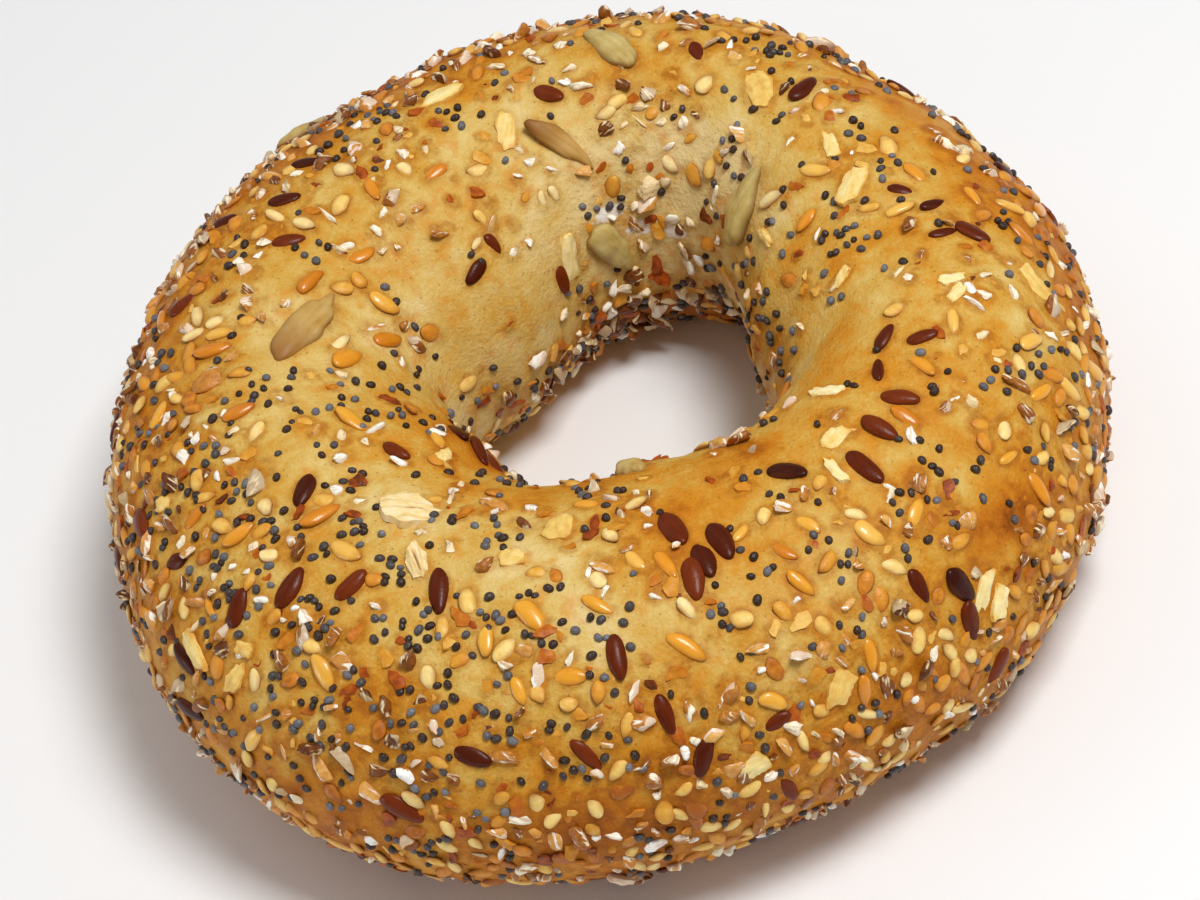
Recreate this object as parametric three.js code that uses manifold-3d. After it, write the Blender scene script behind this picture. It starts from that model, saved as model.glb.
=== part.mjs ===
// A seeded bagel: one baked ring of bread, with its larger seeds, kernels and flakes baked on.
//
// Millimetres, +Z up. The bagel lies flat on its base, and the origin is on the table under
// the middle of its outline. A place on the crust is given in degrees: "around" goes round
// the hole from +X towards +Y, and "across" goes over the ring, from 0 at its widest line
// outside, over 90 on top, to 180 at the waist of the hole. A piece's "turn" is the angle of
// its long axis in the crust, from the way around towards the way across.

import * as THREE from 'three';
import Module from 'manifold-3d';

// ---- The ring of bread ----

const RING_RADIUS = 57.4; // to the widest line outside, on average
const HOLE_RADIUS = 17.6; // to the waist of the hole, on average
const RING_HEIGHT = 37.9; // on average
const WAIST_SHARE = 0.47; // height of the widest line, as a share of the height
const BELLY_SHARE = 1.12; // depth of the round underside before the flat base cuts it off
const RELIEF_FADE = 7; // height above the table over which the lumps grow to full size

// A hand-rolled ring is uneven: each wave is [lobes, cosine share, sine share] of the mean.
const RING_WAVES = [[1, 0, 0.003], [2, -0.0065, 0], [3, 0.007, -0.0133]];
const HOLE_WAVES = [[1, 0.253, 0.197], [2, 0.025, 0.064], [3, -0.085, 0.008], [4, -0.066, -0.11]];
const HEIGHT_WAVES = [[1, -0.014, 0.017]];

// Low lumps of the crust: [height, turns around, turns across, start in degrees].
const LUMPS = [[0.22, 5, 2, 35], [0.17, 9, -3, 110], [0.11, 15, 5, 240]];

const STEPS_AROUND = 56;
const STEPS_ACROSS = 20;
const STEPS_BASE = 3;

// ---- The pieces on the crust ----

// Sizes are length, width and height; sunk is the share of the height that is in the bread.
// A seed's rings are its sections: [place along the length, share of the full width].
const SUNFLOWER = { length: 10, width: 3.8, height: 2.5, sunk: 0.42, rings: [[-0.24, 0.9], [0.2, 0.62]] };
const FLAKE = { length: 5.5, width: 3.2, height: 1.0, sunk: 0.3 };
const OAT = { length: 7, width: 5, height: 1.6, sunk: 0.3 };
const BROWN_FLAX = { length: 4.6, width: 2.2, height: 1.4, sunk: 0.35, rings: [[-0.2, 1], [0.22, 0.66]] };
const GOLD_FLAX = { length: 4.1, width: 1.9, height: 1.2, sunk: 0.35, rings: [[-0.2, 1], [0.22, 0.66]] };
const SESAME = { length: 3.0, width: 1.9, height: 1.1, sunk: 0.35, rings: [[-0.08, 1]] };
const SIZE_RANGE = [0.86, 1.14]; // a drawn size, as a share of its kind's

// A seed's section, in shares of its width and height: flat on top, with a keel in the bread.
const SEED_SECTION = [[0.5, -0.12], [0.3, 0.5], [-0.3, 0.5], [-0.5, -0.12], [0, -0.5]];

// A flake's rim: its corners, their reach as a share of the half sizes, and how far up they are.
const FLAKE_CORNERS = 7;
const FLAKE_REACH = [0.74, 1.16];
const FLAKE_EDGE = [0.45, 0.75];

// Kernels and flakes at places chosen by hand, each [around, across, turn, length, width].
const SUNFLOWER_PLACES = [
  [70.6, 88, -50, 9.7, 3.9], [80.5, 124, 120, 10.4, 2.7], [72.8, 168, 116, 9.8, 4.1],
  [34, 140, -81, 10.4, 4.2], [161, 110, 147, 11.4, 4.1], [277, 131, -52, 5, 3], [116, 38, 20, 10, 4],
  [52, 6, 70, 9.6, 3.6],
];
const OAT_PLACES = [[224.4, 103, 38, 7.1, 5.2], [232.8, 87.7, -44, 5.3, 2.5], [128, 22, 30, 6.8, 4.8]];
const FLAKE_PLACES = [
  [12.6, 99, 141, 6.6, 3.4], [42.3, 100, 153, 6.9, 4.1], [84, 162, 76, 7.3, 3.1],
  [91.2, 110, 52, 5.4, 2.7], [99.9, 84, 174, 5.5, 2.4], [257, 103, 85, 4.8, 3.8],
  [249, 93, 13, 3.1, 2.8], [287.7, 27, 44, 5.1, 3.6], [276, 15.5, 26, 3.5, 3], [307.8, 23, 43, 6, 2.1],
  [309, 16, 39, 4.5, 2.4], [348.5, 50, 48, 7.1, 3], [310.2, 93, 14, 3.3, 2.9],
  [304.8, 82.5, 86, 4.2, 1.7], [342.4, 78.4, 145, 4, 1.6], [345.1, 79.2, 105, 3.2, 1.8],
  [320.1, 110.6, 102, 5.2, 1.8], [213.4, 130, 94, 3, 2.2], [215, 36, 80, 4.5, 2.5],
  [207.2, 33.4, 160, 5.6, 2.4], [214.8, 45.2, 12, 2.8, 2.1], [188.7, 52, 64, 2.7, 2],
  [352.5, 116, 118, 3.5, 1.4], [20.3, 137, 12, 4.4, 1.4], [22.5, 97.4, 162, 4.6, 2], [3, -8, 30, 5.6, 3],
  [150, -12, 80, 6.4, 3.4], [68, 30, 10, 5, 2.6], [108, 8, 60, 6.8, 3.2], [40, 32, 140, 4.6, 3.4],
  [88, -15, 0, 5.8, 3.8],
];

// Flax seeds at places chosen by hand, each [around, across, turn, length].
const BROWN_FLAX_PLACES = [
  [277.6, 90.5, -83, 5.5], [283.6, 80.8, -87, 5], [279.9, 76.8, -88, 4.6], [277.2, 72.8, -100, 4.6],
  [264.3, 57.9, -92, 4.8], [268.3, 39.4, -84, 4.2], [271, 23.5, -118, 4.5], [258.7, 32.4, -55, 4.1],
  [246, 34.4, -17, 4.3], [237.6, 14.7, -28, 5], [279.9, 26.1, 12, 3.8], [278.7, 2, -78, 3.9],
  [300.3, 93.1, -53, 4.9], [315, 84.2, -86, 4.5], [308, 78, -90, 5.2], [321.6, 85.5, -70, 4.8],
  [333.8, 87.7, -64, 3.7], [333.6, 100.8, -19, 3.9], [326, 98, 25, 3], [355.6, 78.7, -82, 3.6],
  [355.3, 68.7, -138, 4.5], [301.6, 39.2, -94, 4.4], [305.9, 30.2, -79, 5.2], [304.7, 18.5, -103, 5],
  [306, -5, 46, 5.2], [205.2, 88, -52, 4.8], [216.3, 65.8, 98, 5.1], [211, 53, 110, 4.5],
  [224.9, 74.7, 72, 5], [238.2, 81, -72, 5.1], [197.2, 46.7, 54, 4.1], [206.2, 28.2, -12, 5],
  [187, 40.5, 8, 5], [208, 13, 15, 4.8], [207, 117.2, 18, 4.1], [140.6, 92, 128, 3.7],
  [132.7, 80, 132, 4], [153.8, 60.5, 118, 4.2], [138.2, 61.4, 99, 4], [124, 72.4, 120, 3.6],
  [35.6, 88.3, -74, 4.7], [56, 93, 132, 4], [2.1, 77.8, -76, 3.5], [6.7, 85.5, -131, 3.5],
  [87.6, 166.5, 84, 4.6], [105.7, 138, 92, 3.3], [116, 141.5, 18, 3.6], [81.4, 104, 132, 4.6],
  [196.8, 146.9, -26, 4.8], [210.5, 148, -12, 4.6], [216.4, 153, -8, 4.2],
];
const GOLD_FLAX_PLACES = [
  [253.3, 73.6, -54, 4.8], [263, 73.2, -42, 3.9], [258.3, 55.2, -6, 3.9], [273.1, 55.4, -51, 4.7],
  [263, 111, -35, 3.6], [269.9, 83.1, -62, 3.4], [274.2, 79.5, -75, 3.7], [287, 80.8, 31, 2.8],
  [280.3, 32.4, -40, 3.8], [292.3, 30.8, -108, 3.4], [290, 22.2, -104, 4], [247, 67, -85, 3.8],
  [251.7, 52.7, -70, 3.4], [328.5, 84.2, -120, 4], [337, 78.6, -168, 3.4], [318.8, 80.3, -91, 3.5],
  [321.6, 45, -22, 3], [332, 44, -30, 3.8], [338, 52, -40, 3.8], [321.5, 30, -106, 4.1],
  [335.4, 33, -91, 4.3], [307.5, 57, 25, 3.8], [300.9, 60.4, -76, 4.4], [289.6, 58.8, -69, 3.6],
  [290.4, 69.2, -62, 3.2], [295.7, 72.8, -66, 3.2], [211.5, 86.3, 81, 4.7], [220.4, 82.3, 0, 4.5],
  [226.3, 49.7, -44, 4.6], [203.3, 67, 80, 4.1], [207, 47, -20, 2.8], [194.6, 59.4, 96, 3.4],
  [205.6, 133, -15, 3.6], [148.8, 106.6, 163, 4.5], [154.5, 137.5, 130, 4.6], [144.2, 131, 98, 4.2],
  [168.8, 121.8, 120, 4.8], [136.2, 115.3, 162, 3.6], [165.8, 78.5, 92, 4.7], [162.4, 80.6, 87, 4],
  [182.3, 84.2, 90, 4], [12.7, 119.7, 110, 3.6], [20.6, 107.5, -134, 4.2], [9.3, 77, -156, 3.7],
  [2.6, 88.7, -86, 3.6], [3.3, 61.9, -168, 3.2], [109.4, 109, 0, 3.6], [67.5, 80, -60, 3.6],
  [122.4, 101.2, 72, 3.6], [128.1, 63.5, 82, 4.6],
];

// Zones strewn with more seeds, each [around from, to, across from, to, how many].
const MORE_BROWN_FLAX = [[12, 188, -55, 50, 15], [195, 345, 160, 212, 2], [190, 350, -55, -15, 5]];
const MORE_GOLD_FLAX = [[0, 360, -60, 240, 22]];
const MORE_SESAME = [[0, 360, -60, 240, 62]];

// Barer places of the crust: [around, across, reach around, reach across].
const BARE_SPOTS = [
  [338, 128, 13, 14], [290, 106, 10, 14], [281, 63, 5, 9], [314, 33, 5, 9], [130, 150, 13, 34],
  [212, 148, 22, 10], [226, 12, 12, 11], [259, 12, 6, 9], [37, 140, 7, 13], [22, 62, 12, 9],
  [100, 175, 12, 20], [352, 106, 8, 7], [268, 64, 5, 6],
];
const BARE_SHARE = 0.93; // share of the pieces that the middle of such a place lacks
const TOP_COVER = 0.42; // how thickly the top is strewn, as a share of the outer side
const THICKEST_ACROSS = 10; // the outer side is strewn the most here
const CLEARANCE = 0.78; // pieces keep this share of their half lengths, added, apart
const TRIES = 60; // draws for each scattered piece before it is given up

// ---- Arithmetic ----

const radians = THREE.MathUtils.degToRad;
const BASE_ANGLE = THREE.MathUtils.radToDeg(Math.asin(1 / BELLY_SHARE));
const LOWEST_ACROSS = -BASE_ANGLE;
const HIGHEST_ACROSS = 180 + BASE_ANGLE;

let drawState = 20257;

// A repeatable draw from 0 to 1.
function draw() {
  drawState = (Math.imul(1664525, drawState) + 1013904223) >>> 0;
  return drawState / 4294967296;
}

function drawBetween([low, high]) {
  return low + (high - low) * draw();
}

// The mean size changed by a list of waves round the ring.
function uneven(mean, waves, around) {
  let share = 1;
  for (const [lobes, cosine, sine] of waves) {
    const angle = radians(lobes * around);
    share += cosine * Math.cos(angle) + sine * Math.sin(angle);
  }
  return mean * share;
}

// The height of the crust's low lumps at one place.
function lumps(around, across) {
  let height = 0;
  for (const [size, turnsAround, turnsAcross, start] of LUMPS) {
    height += size * Math.sin(radians(turnsAround * around + turnsAcross * across + start));
  }
  return height;
}

// ---- The crust ----

// A point of the crust before the ring is set over the origin.
function ringPoint(around, across) {
  const outer = uneven(RING_RADIUS, RING_WAVES, around);
  const inner = uneven(HOLE_RADIUS, HOLE_WAVES, around);
  const height = uneven(RING_HEIGHT, HEIGHT_WAVES, around);
  const waist = WAIST_SHARE * height;
  const cosine = Math.cos(radians(across));
  const sine = Math.sin(radians(across));
  const rise = sine >= 0 ? height - waist : BELLY_SHARE * waist;
  const level = waist + rise * sine;
  const bump = lumps(around, across) * THREE.MathUtils.smoothstep(level, 0, RELIEF_FADE);
  const radius = (outer + inner) / 2 + ((outer - inner) / 2 + bump) * cosine;
  const angle = radians(around);
  return new THREE.Vector3(
    radius * Math.cos(angle),
    radius * Math.sin(angle),
    Math.max(0, level + bump * sine),
  );
}

// The middle of the ring's outline, which is set over the origin.
function ringMiddle() {
  const outline = new THREE.Box3();
  for (let around = 0; around < 360; around += 1) {
    outline.expandByPoint(ringPoint(around, 0));
  }
  return outline.getCenter(new THREE.Vector3()).setZ(0);
}

const RING_MIDDLE = ringMiddle();

function crustPoint(around, across) {
  return ringPoint(around, across).sub(RING_MIDDLE);
}

// The crust's directions at one place: along, across and straight out.
function crustFrame(around, across) {
  const step = 0.5;
  const along = crustPoint(around + step, across).sub(crustPoint(around - step, across));
  const over = crustPoint(around, across + step).sub(crustPoint(around, across - step));
  const out = new THREE.Vector3().crossVectors(along, over).normalize();
  along.normalize();
  over.crossVectors(out, along);
  return { along, over, out };
}

// One closed loop of points round the ring, at each place over its section.
function breadLoops() {
  const loops = [];
  for (let i = 0; i <= STEPS_ACROSS; i += 1) {
    const across = THREE.MathUtils.lerp(LOWEST_ACROSS, HIGHEST_ACROSS, i / STEPS_ACROSS);
    loops.push((around) => crustPoint(around, across));
  }
  for (let i = 1; i < STEPS_BASE; i += 1) {
    loops.push((around) => basePoint(around, i / STEPS_BASE));
  }
  return loops;
}

// A point of the flat base, from the edge at the hole to the outer edge.
function basePoint(around, share) {
  const inside = crustPoint(around, HIGHEST_ACROSS);
  return inside.lerp(crustPoint(around, LOWEST_ACROSS), share);
}

// The ring of bread as a closed mesh.
function breadGeometry() {
  const loops = breadLoops();
  const points = [];
  for (const loop of loops) {
    for (let i = 0; i < STEPS_AROUND; i += 1) {
      points.push(loop((360 * i) / STEPS_AROUND));
    }
  }
  const faces = [];
  for (let j = 0; j < loops.length; j += 1) {
    const near = j * STEPS_AROUND;
    const far = ((j + 1) % loops.length) * STEPS_AROUND;
    for (let i = 0; i < STEPS_AROUND; i += 1) {
      const next = (i + 1) % STEPS_AROUND;
      faces.push(near + i, near + next, far + next);
      faces.push(near + i, far + next, far + i);
    }
  }
  return meshGeometry(points, faces);
}

function meshGeometry(points, faces) {
  const geometry = new THREE.BufferGeometry().setFromPoints(points);
  geometry.setIndex(faces);
  return geometry;
}

// ---- The shapes of the pieces ----

// A drop-shaped seed: its sections, closed by a point at each end.
function seedGeometry(kind) {
  const sides = SEED_SECTION.length;
  const points = [new THREE.Vector3(-0.5 * kind.length, 0, 0)];
  for (const [at, share] of kind.rings) {
    for (const [aside, up] of SEED_SECTION) {
      const y = share * kind.width * aside;
      const z = share * kind.height * up;
      points.push(new THREE.Vector3(at * kind.length, y, z));
    }
  }
  points.push(new THREE.Vector3(0.5 * kind.length, 0, 0));
  const tip = points.length - 1;
  const lastRing = tip - sides;
  const faces = [];
  for (let i = 0; i < sides; i += 1) {
    const next = (i + 1) % sides;
    faces.push(0, 1 + next, 1 + i);
    for (let near = 1; near < lastRing; near += sides) {
      const far = near + sides;
      faces.push(near + i, near + next, far + next);
      faces.push(near + i, far + next, far + i);
    }
    faces.push(tip, lastRing + i, lastRing + next);
  }
  return meshGeometry(points, faces);
}

// A flake: an uneven rim, with a low middle above it and a keel in the bread below.
function flakeGeometry(kind) {
  const rise = kind.height * (1 - kind.sunk);
  const points = [new THREE.Vector3(0, 0, rise)];
  for (let i = 0; i < FLAKE_CORNERS; i += 1) {
    const angle = (2 * Math.PI * i) / FLAKE_CORNERS;
    const reach = 0.5 * drawBetween(FLAKE_REACH);
    const x = reach * kind.length * Math.cos(angle);
    const y = reach * kind.width * Math.sin(angle);
    points.push(new THREE.Vector3(x, y, rise * drawBetween(FLAKE_EDGE)));
  }
  points.push(new THREE.Vector3(0, 0, -kind.height));
  const keel = points.length - 1;
  const faces = [];
  for (let i = 0; i < FLAKE_CORNERS; i += 1) {
    const near = 1 + i;
    const next = 1 + ((i + 1) % FLAKE_CORNERS);
    faces.push(0, near, next);
    faces.push(keel, next, near);
  }
  return meshGeometry(points, faces);
}

// ---- Where the pieces go ----

const placed = [];

// How thickly the crust is strewn at one place, from 0 to 1.
function cover(around, across) {
  const outside = Math.max(0, Math.cos(radians(across - THICKEST_ACROSS)));
  let share = TOP_COVER + (1 - TOP_COVER) * outside;
  for (const [spotAround, spotAcross, reachAround, reachAcross] of BARE_SPOTS) {
    const away = (((around - spotAround + 540) % 360) - 180) / reachAround;
    const over = (across - spotAcross) / reachAcross;
    share *= 1 - BARE_SHARE * Math.exp(-(away * away + over * over));
  }
  return share;
}

// Notes a piece of one kind at one place, with its length, width and height as shares of its kind's.
function place(kind, around, across, turn, stretch) {
  const spot = crustPoint(around, across);
  placed.push({ kind, around, across, turn, stretch, spot, reach: 0.5 * kind.length * stretch[0] });
}

// Whether a piece of this reach is clear of the table and of the pieces already placed.
function isFree(spot, reach) {
  if (spot.z < reach) {
    return false;
  }
  const near = (other) => spot.distanceTo(other.spot) < CLEARANCE * (reach + other.reach);
  return !placed.some(near);
}

// Pieces at places chosen by hand, each with its own length and width.
function placeSized(kind, places) {
  for (const [around, across, turn, length, width] of places) {
    place(kind, around, across, turn, [length / kind.length, width / kind.width, 1]);
  }
}

// Pieces at places chosen by hand, each with its own length and its kind's proportions.
function placeSeeds(kind, places) {
  for (const [around, across, turn, length] of places) {
    place(kind, around, across, turn, evenStretch(length / kind.length));
  }
}

function evenStretch(scale) {
  return [scale, scale, scale];
}

// More pieces of one kind, drawn over some zones of the crust.
function placeScattered(kind, zones) {
  for (const zone of zones) {
    placeInZone(kind, zone);
  }
}

// Pieces drawn over one zone, in proportion to the crust's area and its cover.
function placeInZone(kind, [aroundLow, aroundHigh, acrossLow, acrossHigh, count]) {
  let left = count;
  for (let i = 0; i < count * TRIES && left > 0; i += 1) {
    const around = drawBetween([aroundLow, aroundHigh]);
    const across = drawBetween([acrossLow, acrossHigh]);
    const chance = draw();
    const turn = drawBetween([0, 180]);
    const scale = drawBetween(SIZE_RANGE);
    const spot = crustPoint(around, across);
    const area = Math.hypot(spot.x, spot.y) / RING_RADIUS;
    const wanted = chance < area * cover(around, across);
    if (wanted && isFree(spot, 0.5 * kind.length * scale)) {
      place(kind, around, across, turn, evenStretch(scale));
      left -= 1;
    }
  }
}

function placeAll() {
  placeSized(SUNFLOWER, SUNFLOWER_PLACES);
  placeSized(OAT, OAT_PLACES);
  placeSized(FLAKE, FLAKE_PLACES);
  placeSeeds(BROWN_FLAX, BROWN_FLAX_PLACES);
  placeSeeds(GOLD_FLAX, GOLD_FLAX_PLACES);
  placeScattered(BROWN_FLAX, MORE_BROWN_FLAX);
  placeScattered(GOLD_FLAX, MORE_GOLD_FLAX);
  placeScattered(SESAME, MORE_SESAME);
}

// A piece's own mesh, set into the crust.
function pieceGeometry(piece) {
  const { kind, around, across, turn, stretch, spot } = piece;
  const flat = kind === FLAKE || kind === OAT;
  const geometry = flat ? flakeGeometry(kind) : seedGeometry(kind);
  const { along, over, out } = crustFrame(around, across);
  const angle = radians(turn);
  const length = along.clone().multiplyScalar(Math.cos(angle));
  length.addScaledVector(over, Math.sin(angle));
  const width = new THREE.Vector3().crossVectors(out, length);
  const lift = flat ? 0 : kind.height * (0.5 - kind.sunk);
  const middle = spot.clone().addScaledVector(out, lift);
  geometry.scale(...stretch);
  geometry.applyMatrix4(new THREE.Matrix4().makeBasis(length, width, out).setPosition(middle));
  return geometry;
}

// ---- Joining ----

const wasm = await Module();
wasm.setup();

function toSolid(geometry) {
  const vertProperties = new Float32Array(geometry.getAttribute('position').array);
  const triVerts = new Uint32Array(geometry.getIndex().array);
  return new wasm.Manifold(new wasm.Mesh({ numProp: 3, vertProperties, triVerts }));
}

function toGeometry(solid) {
  const mesh = solid.getMesh();
  const geometry = new THREE.BufferGeometry();
  geometry.setAttribute('position', new THREE.BufferAttribute(mesh.vertProperties, 3));
  geometry.setIndex(new THREE.BufferAttribute(mesh.triVerts, 1));
  geometry.computeVertexNormals();
  return geometry;
}

// The outer skin alone: a hollow that the joining has sealed is filled, a loose scrap dropped.
function outerSkin(solid) {
  const skins = solid.decompose();
  return skins.reduce((best, skin) => (skin.volume() > best.volume() ? skin : best));
}

// The bread with every piece joined to it, as one closed mesh.
function bagelGeometry() {
  placeAll();
  let solid = toSolid(breadGeometry());
  for (const piece of placed) {
    solid = solid.add(toSolid(pieceGeometry(piece)));
  }
  return toGeometry(outerSkin(solid));
}

const crust = new THREE.MeshStandardMaterial({
  color: 0xd6a050,
  roughness: 0.55,
  metalness: 0,
});

const bagel = new THREE.Mesh(bagelGeometry(), crust);
bagel.name = 'bagel';

const group = new THREE.Group();
group.add(bagel);

export default group;
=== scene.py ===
"""The looks of a seeded bagel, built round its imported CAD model.

Sizes are in millimetres and are turned into metres where a mesh, a light or the camera is
made. A place on the crust is given in degrees: "around" goes round the hole from +X towards
+Y, and "across" goes over the ring, from 0 at its widest line outside, over 90 on top, to 180
at the waist of the hole. A piece's "turn" is the angle of its long axis in the crust, from
the way around towards the way across.
"""

import itertools
import math
import random

import bmesh
import bpy
import numpy as np
from mathutils import Matrix, Vector, noise


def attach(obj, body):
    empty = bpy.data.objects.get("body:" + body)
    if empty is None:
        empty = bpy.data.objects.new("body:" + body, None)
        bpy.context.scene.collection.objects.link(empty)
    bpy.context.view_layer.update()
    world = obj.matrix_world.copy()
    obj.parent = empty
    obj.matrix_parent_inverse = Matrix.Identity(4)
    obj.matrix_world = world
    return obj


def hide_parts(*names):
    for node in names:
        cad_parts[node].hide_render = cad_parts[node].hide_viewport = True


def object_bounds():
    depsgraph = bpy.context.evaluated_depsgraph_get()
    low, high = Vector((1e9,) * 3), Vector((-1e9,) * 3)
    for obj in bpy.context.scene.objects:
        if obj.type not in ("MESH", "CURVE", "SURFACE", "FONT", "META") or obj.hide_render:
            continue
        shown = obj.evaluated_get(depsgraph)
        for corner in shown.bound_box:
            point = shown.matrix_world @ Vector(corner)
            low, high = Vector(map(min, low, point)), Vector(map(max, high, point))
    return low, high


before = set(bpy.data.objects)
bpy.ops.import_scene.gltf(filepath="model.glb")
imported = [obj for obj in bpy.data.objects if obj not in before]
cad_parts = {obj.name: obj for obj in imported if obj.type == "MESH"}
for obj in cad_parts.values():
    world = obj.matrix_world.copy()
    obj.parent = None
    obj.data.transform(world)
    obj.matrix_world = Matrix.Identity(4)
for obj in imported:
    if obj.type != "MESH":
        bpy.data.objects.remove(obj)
cad_low, cad_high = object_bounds()

MM = 0.001  # a millimetre in metres

# ---- The ring of bread, as in the CAD model ----

RING_RADIUS = 57.4
HOLE_RADIUS = 17.6
RING_HEIGHT = 37.9
WAIST_SHARE = 0.47
BELLY_SHARE = 1.12
RELIEF_FADE = 7
RING_WAVES = [(1, 0, 0.003), (2, -0.0065, 0), (3, 0.007, -0.0133)]
HOLE_WAVES = [(1, 0.253, 0.197), (2, 0.025, 0.064), (3, -0.085, 0.008), (4, -0.066, -0.11)]
HEIGHT_WAVES = [(1, -0.014, 0.017)]
LUMPS = [(0.22, 5, 2, 35), (0.17, 9, -3, 110), (0.11, 15, 5, 240)]

BASE_ANGLE = math.degrees(math.asin(1 / BELLY_SHARE))
LOWEST_ACROSS = -BASE_ANGLE
HIGHEST_ACROSS = 180 + BASE_ANGLE

# ---- Its finer form, which only the looks have ----

BREAD_STEPS_AROUND = 480
BREAD_STEPS_ACROSS = 180
BREAD_STEPS_BASE = 14
BASE_HOLLOW = 0.35  # how far the middle of the flat base is off the table
BASE_TOAST = 0.62  # at the edges of the base
MIDDLE_TOAST = 0.1  # more in the middle of it
SKIN_RELIEF = [(0.16, 7.0), (0.06, 2.4), (0.03, 1.0)]  # the skin's unevenness: height, grain
STAIN_AND_SHADE_EDGE = 0.4  # how far beyond a piece's rim the crust is drawn up and darker, as glaze stain and painted contact shade
STAIN_AND_SHADE_ROWS = 12  # rows of points that a piece's stain and painted contact shade can reach
GLAZE_RISE = 0.16  # how far the crust is drawn up to a piece

# ---- The pieces that the CAD model has too ----

# "sunk" is the share of a piece's height that is in the crust.
KINDS = {
    name: dict(length=length, width=width, height=height, sunk=sunk)
    for name, length, width, height, sunk in [
        ("sunflower", 10, 3.8, 2.5, 0.42), ("oat", 7, 5, 1.6, 0.3), ("flake", 5.5, 3.2, 1.0, 0.3),
        ("brown_flax", 4.6, 2.2, 1.4, 0.35), ("gold_flax", 4.1, 1.9, 1.2, 0.35),
        ("sesame", 3.0, 1.9, 1.1, 0.35), ("grain", 2.8, 1.8, 1.5, 0.4), ("white", 1.9, 1.3, 1.1, 0.35),
        ("bran", 2.2, 1.4, 0.5, 0.3), ("poppy", 1.12, 1.0, 0.95, 0.3),
    ]
}
FLAKE_CORNERS = 7
FLAKE_REACH = (0.74, 1.16)
FLAKE_EDGE = (0.45, 0.75)

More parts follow.
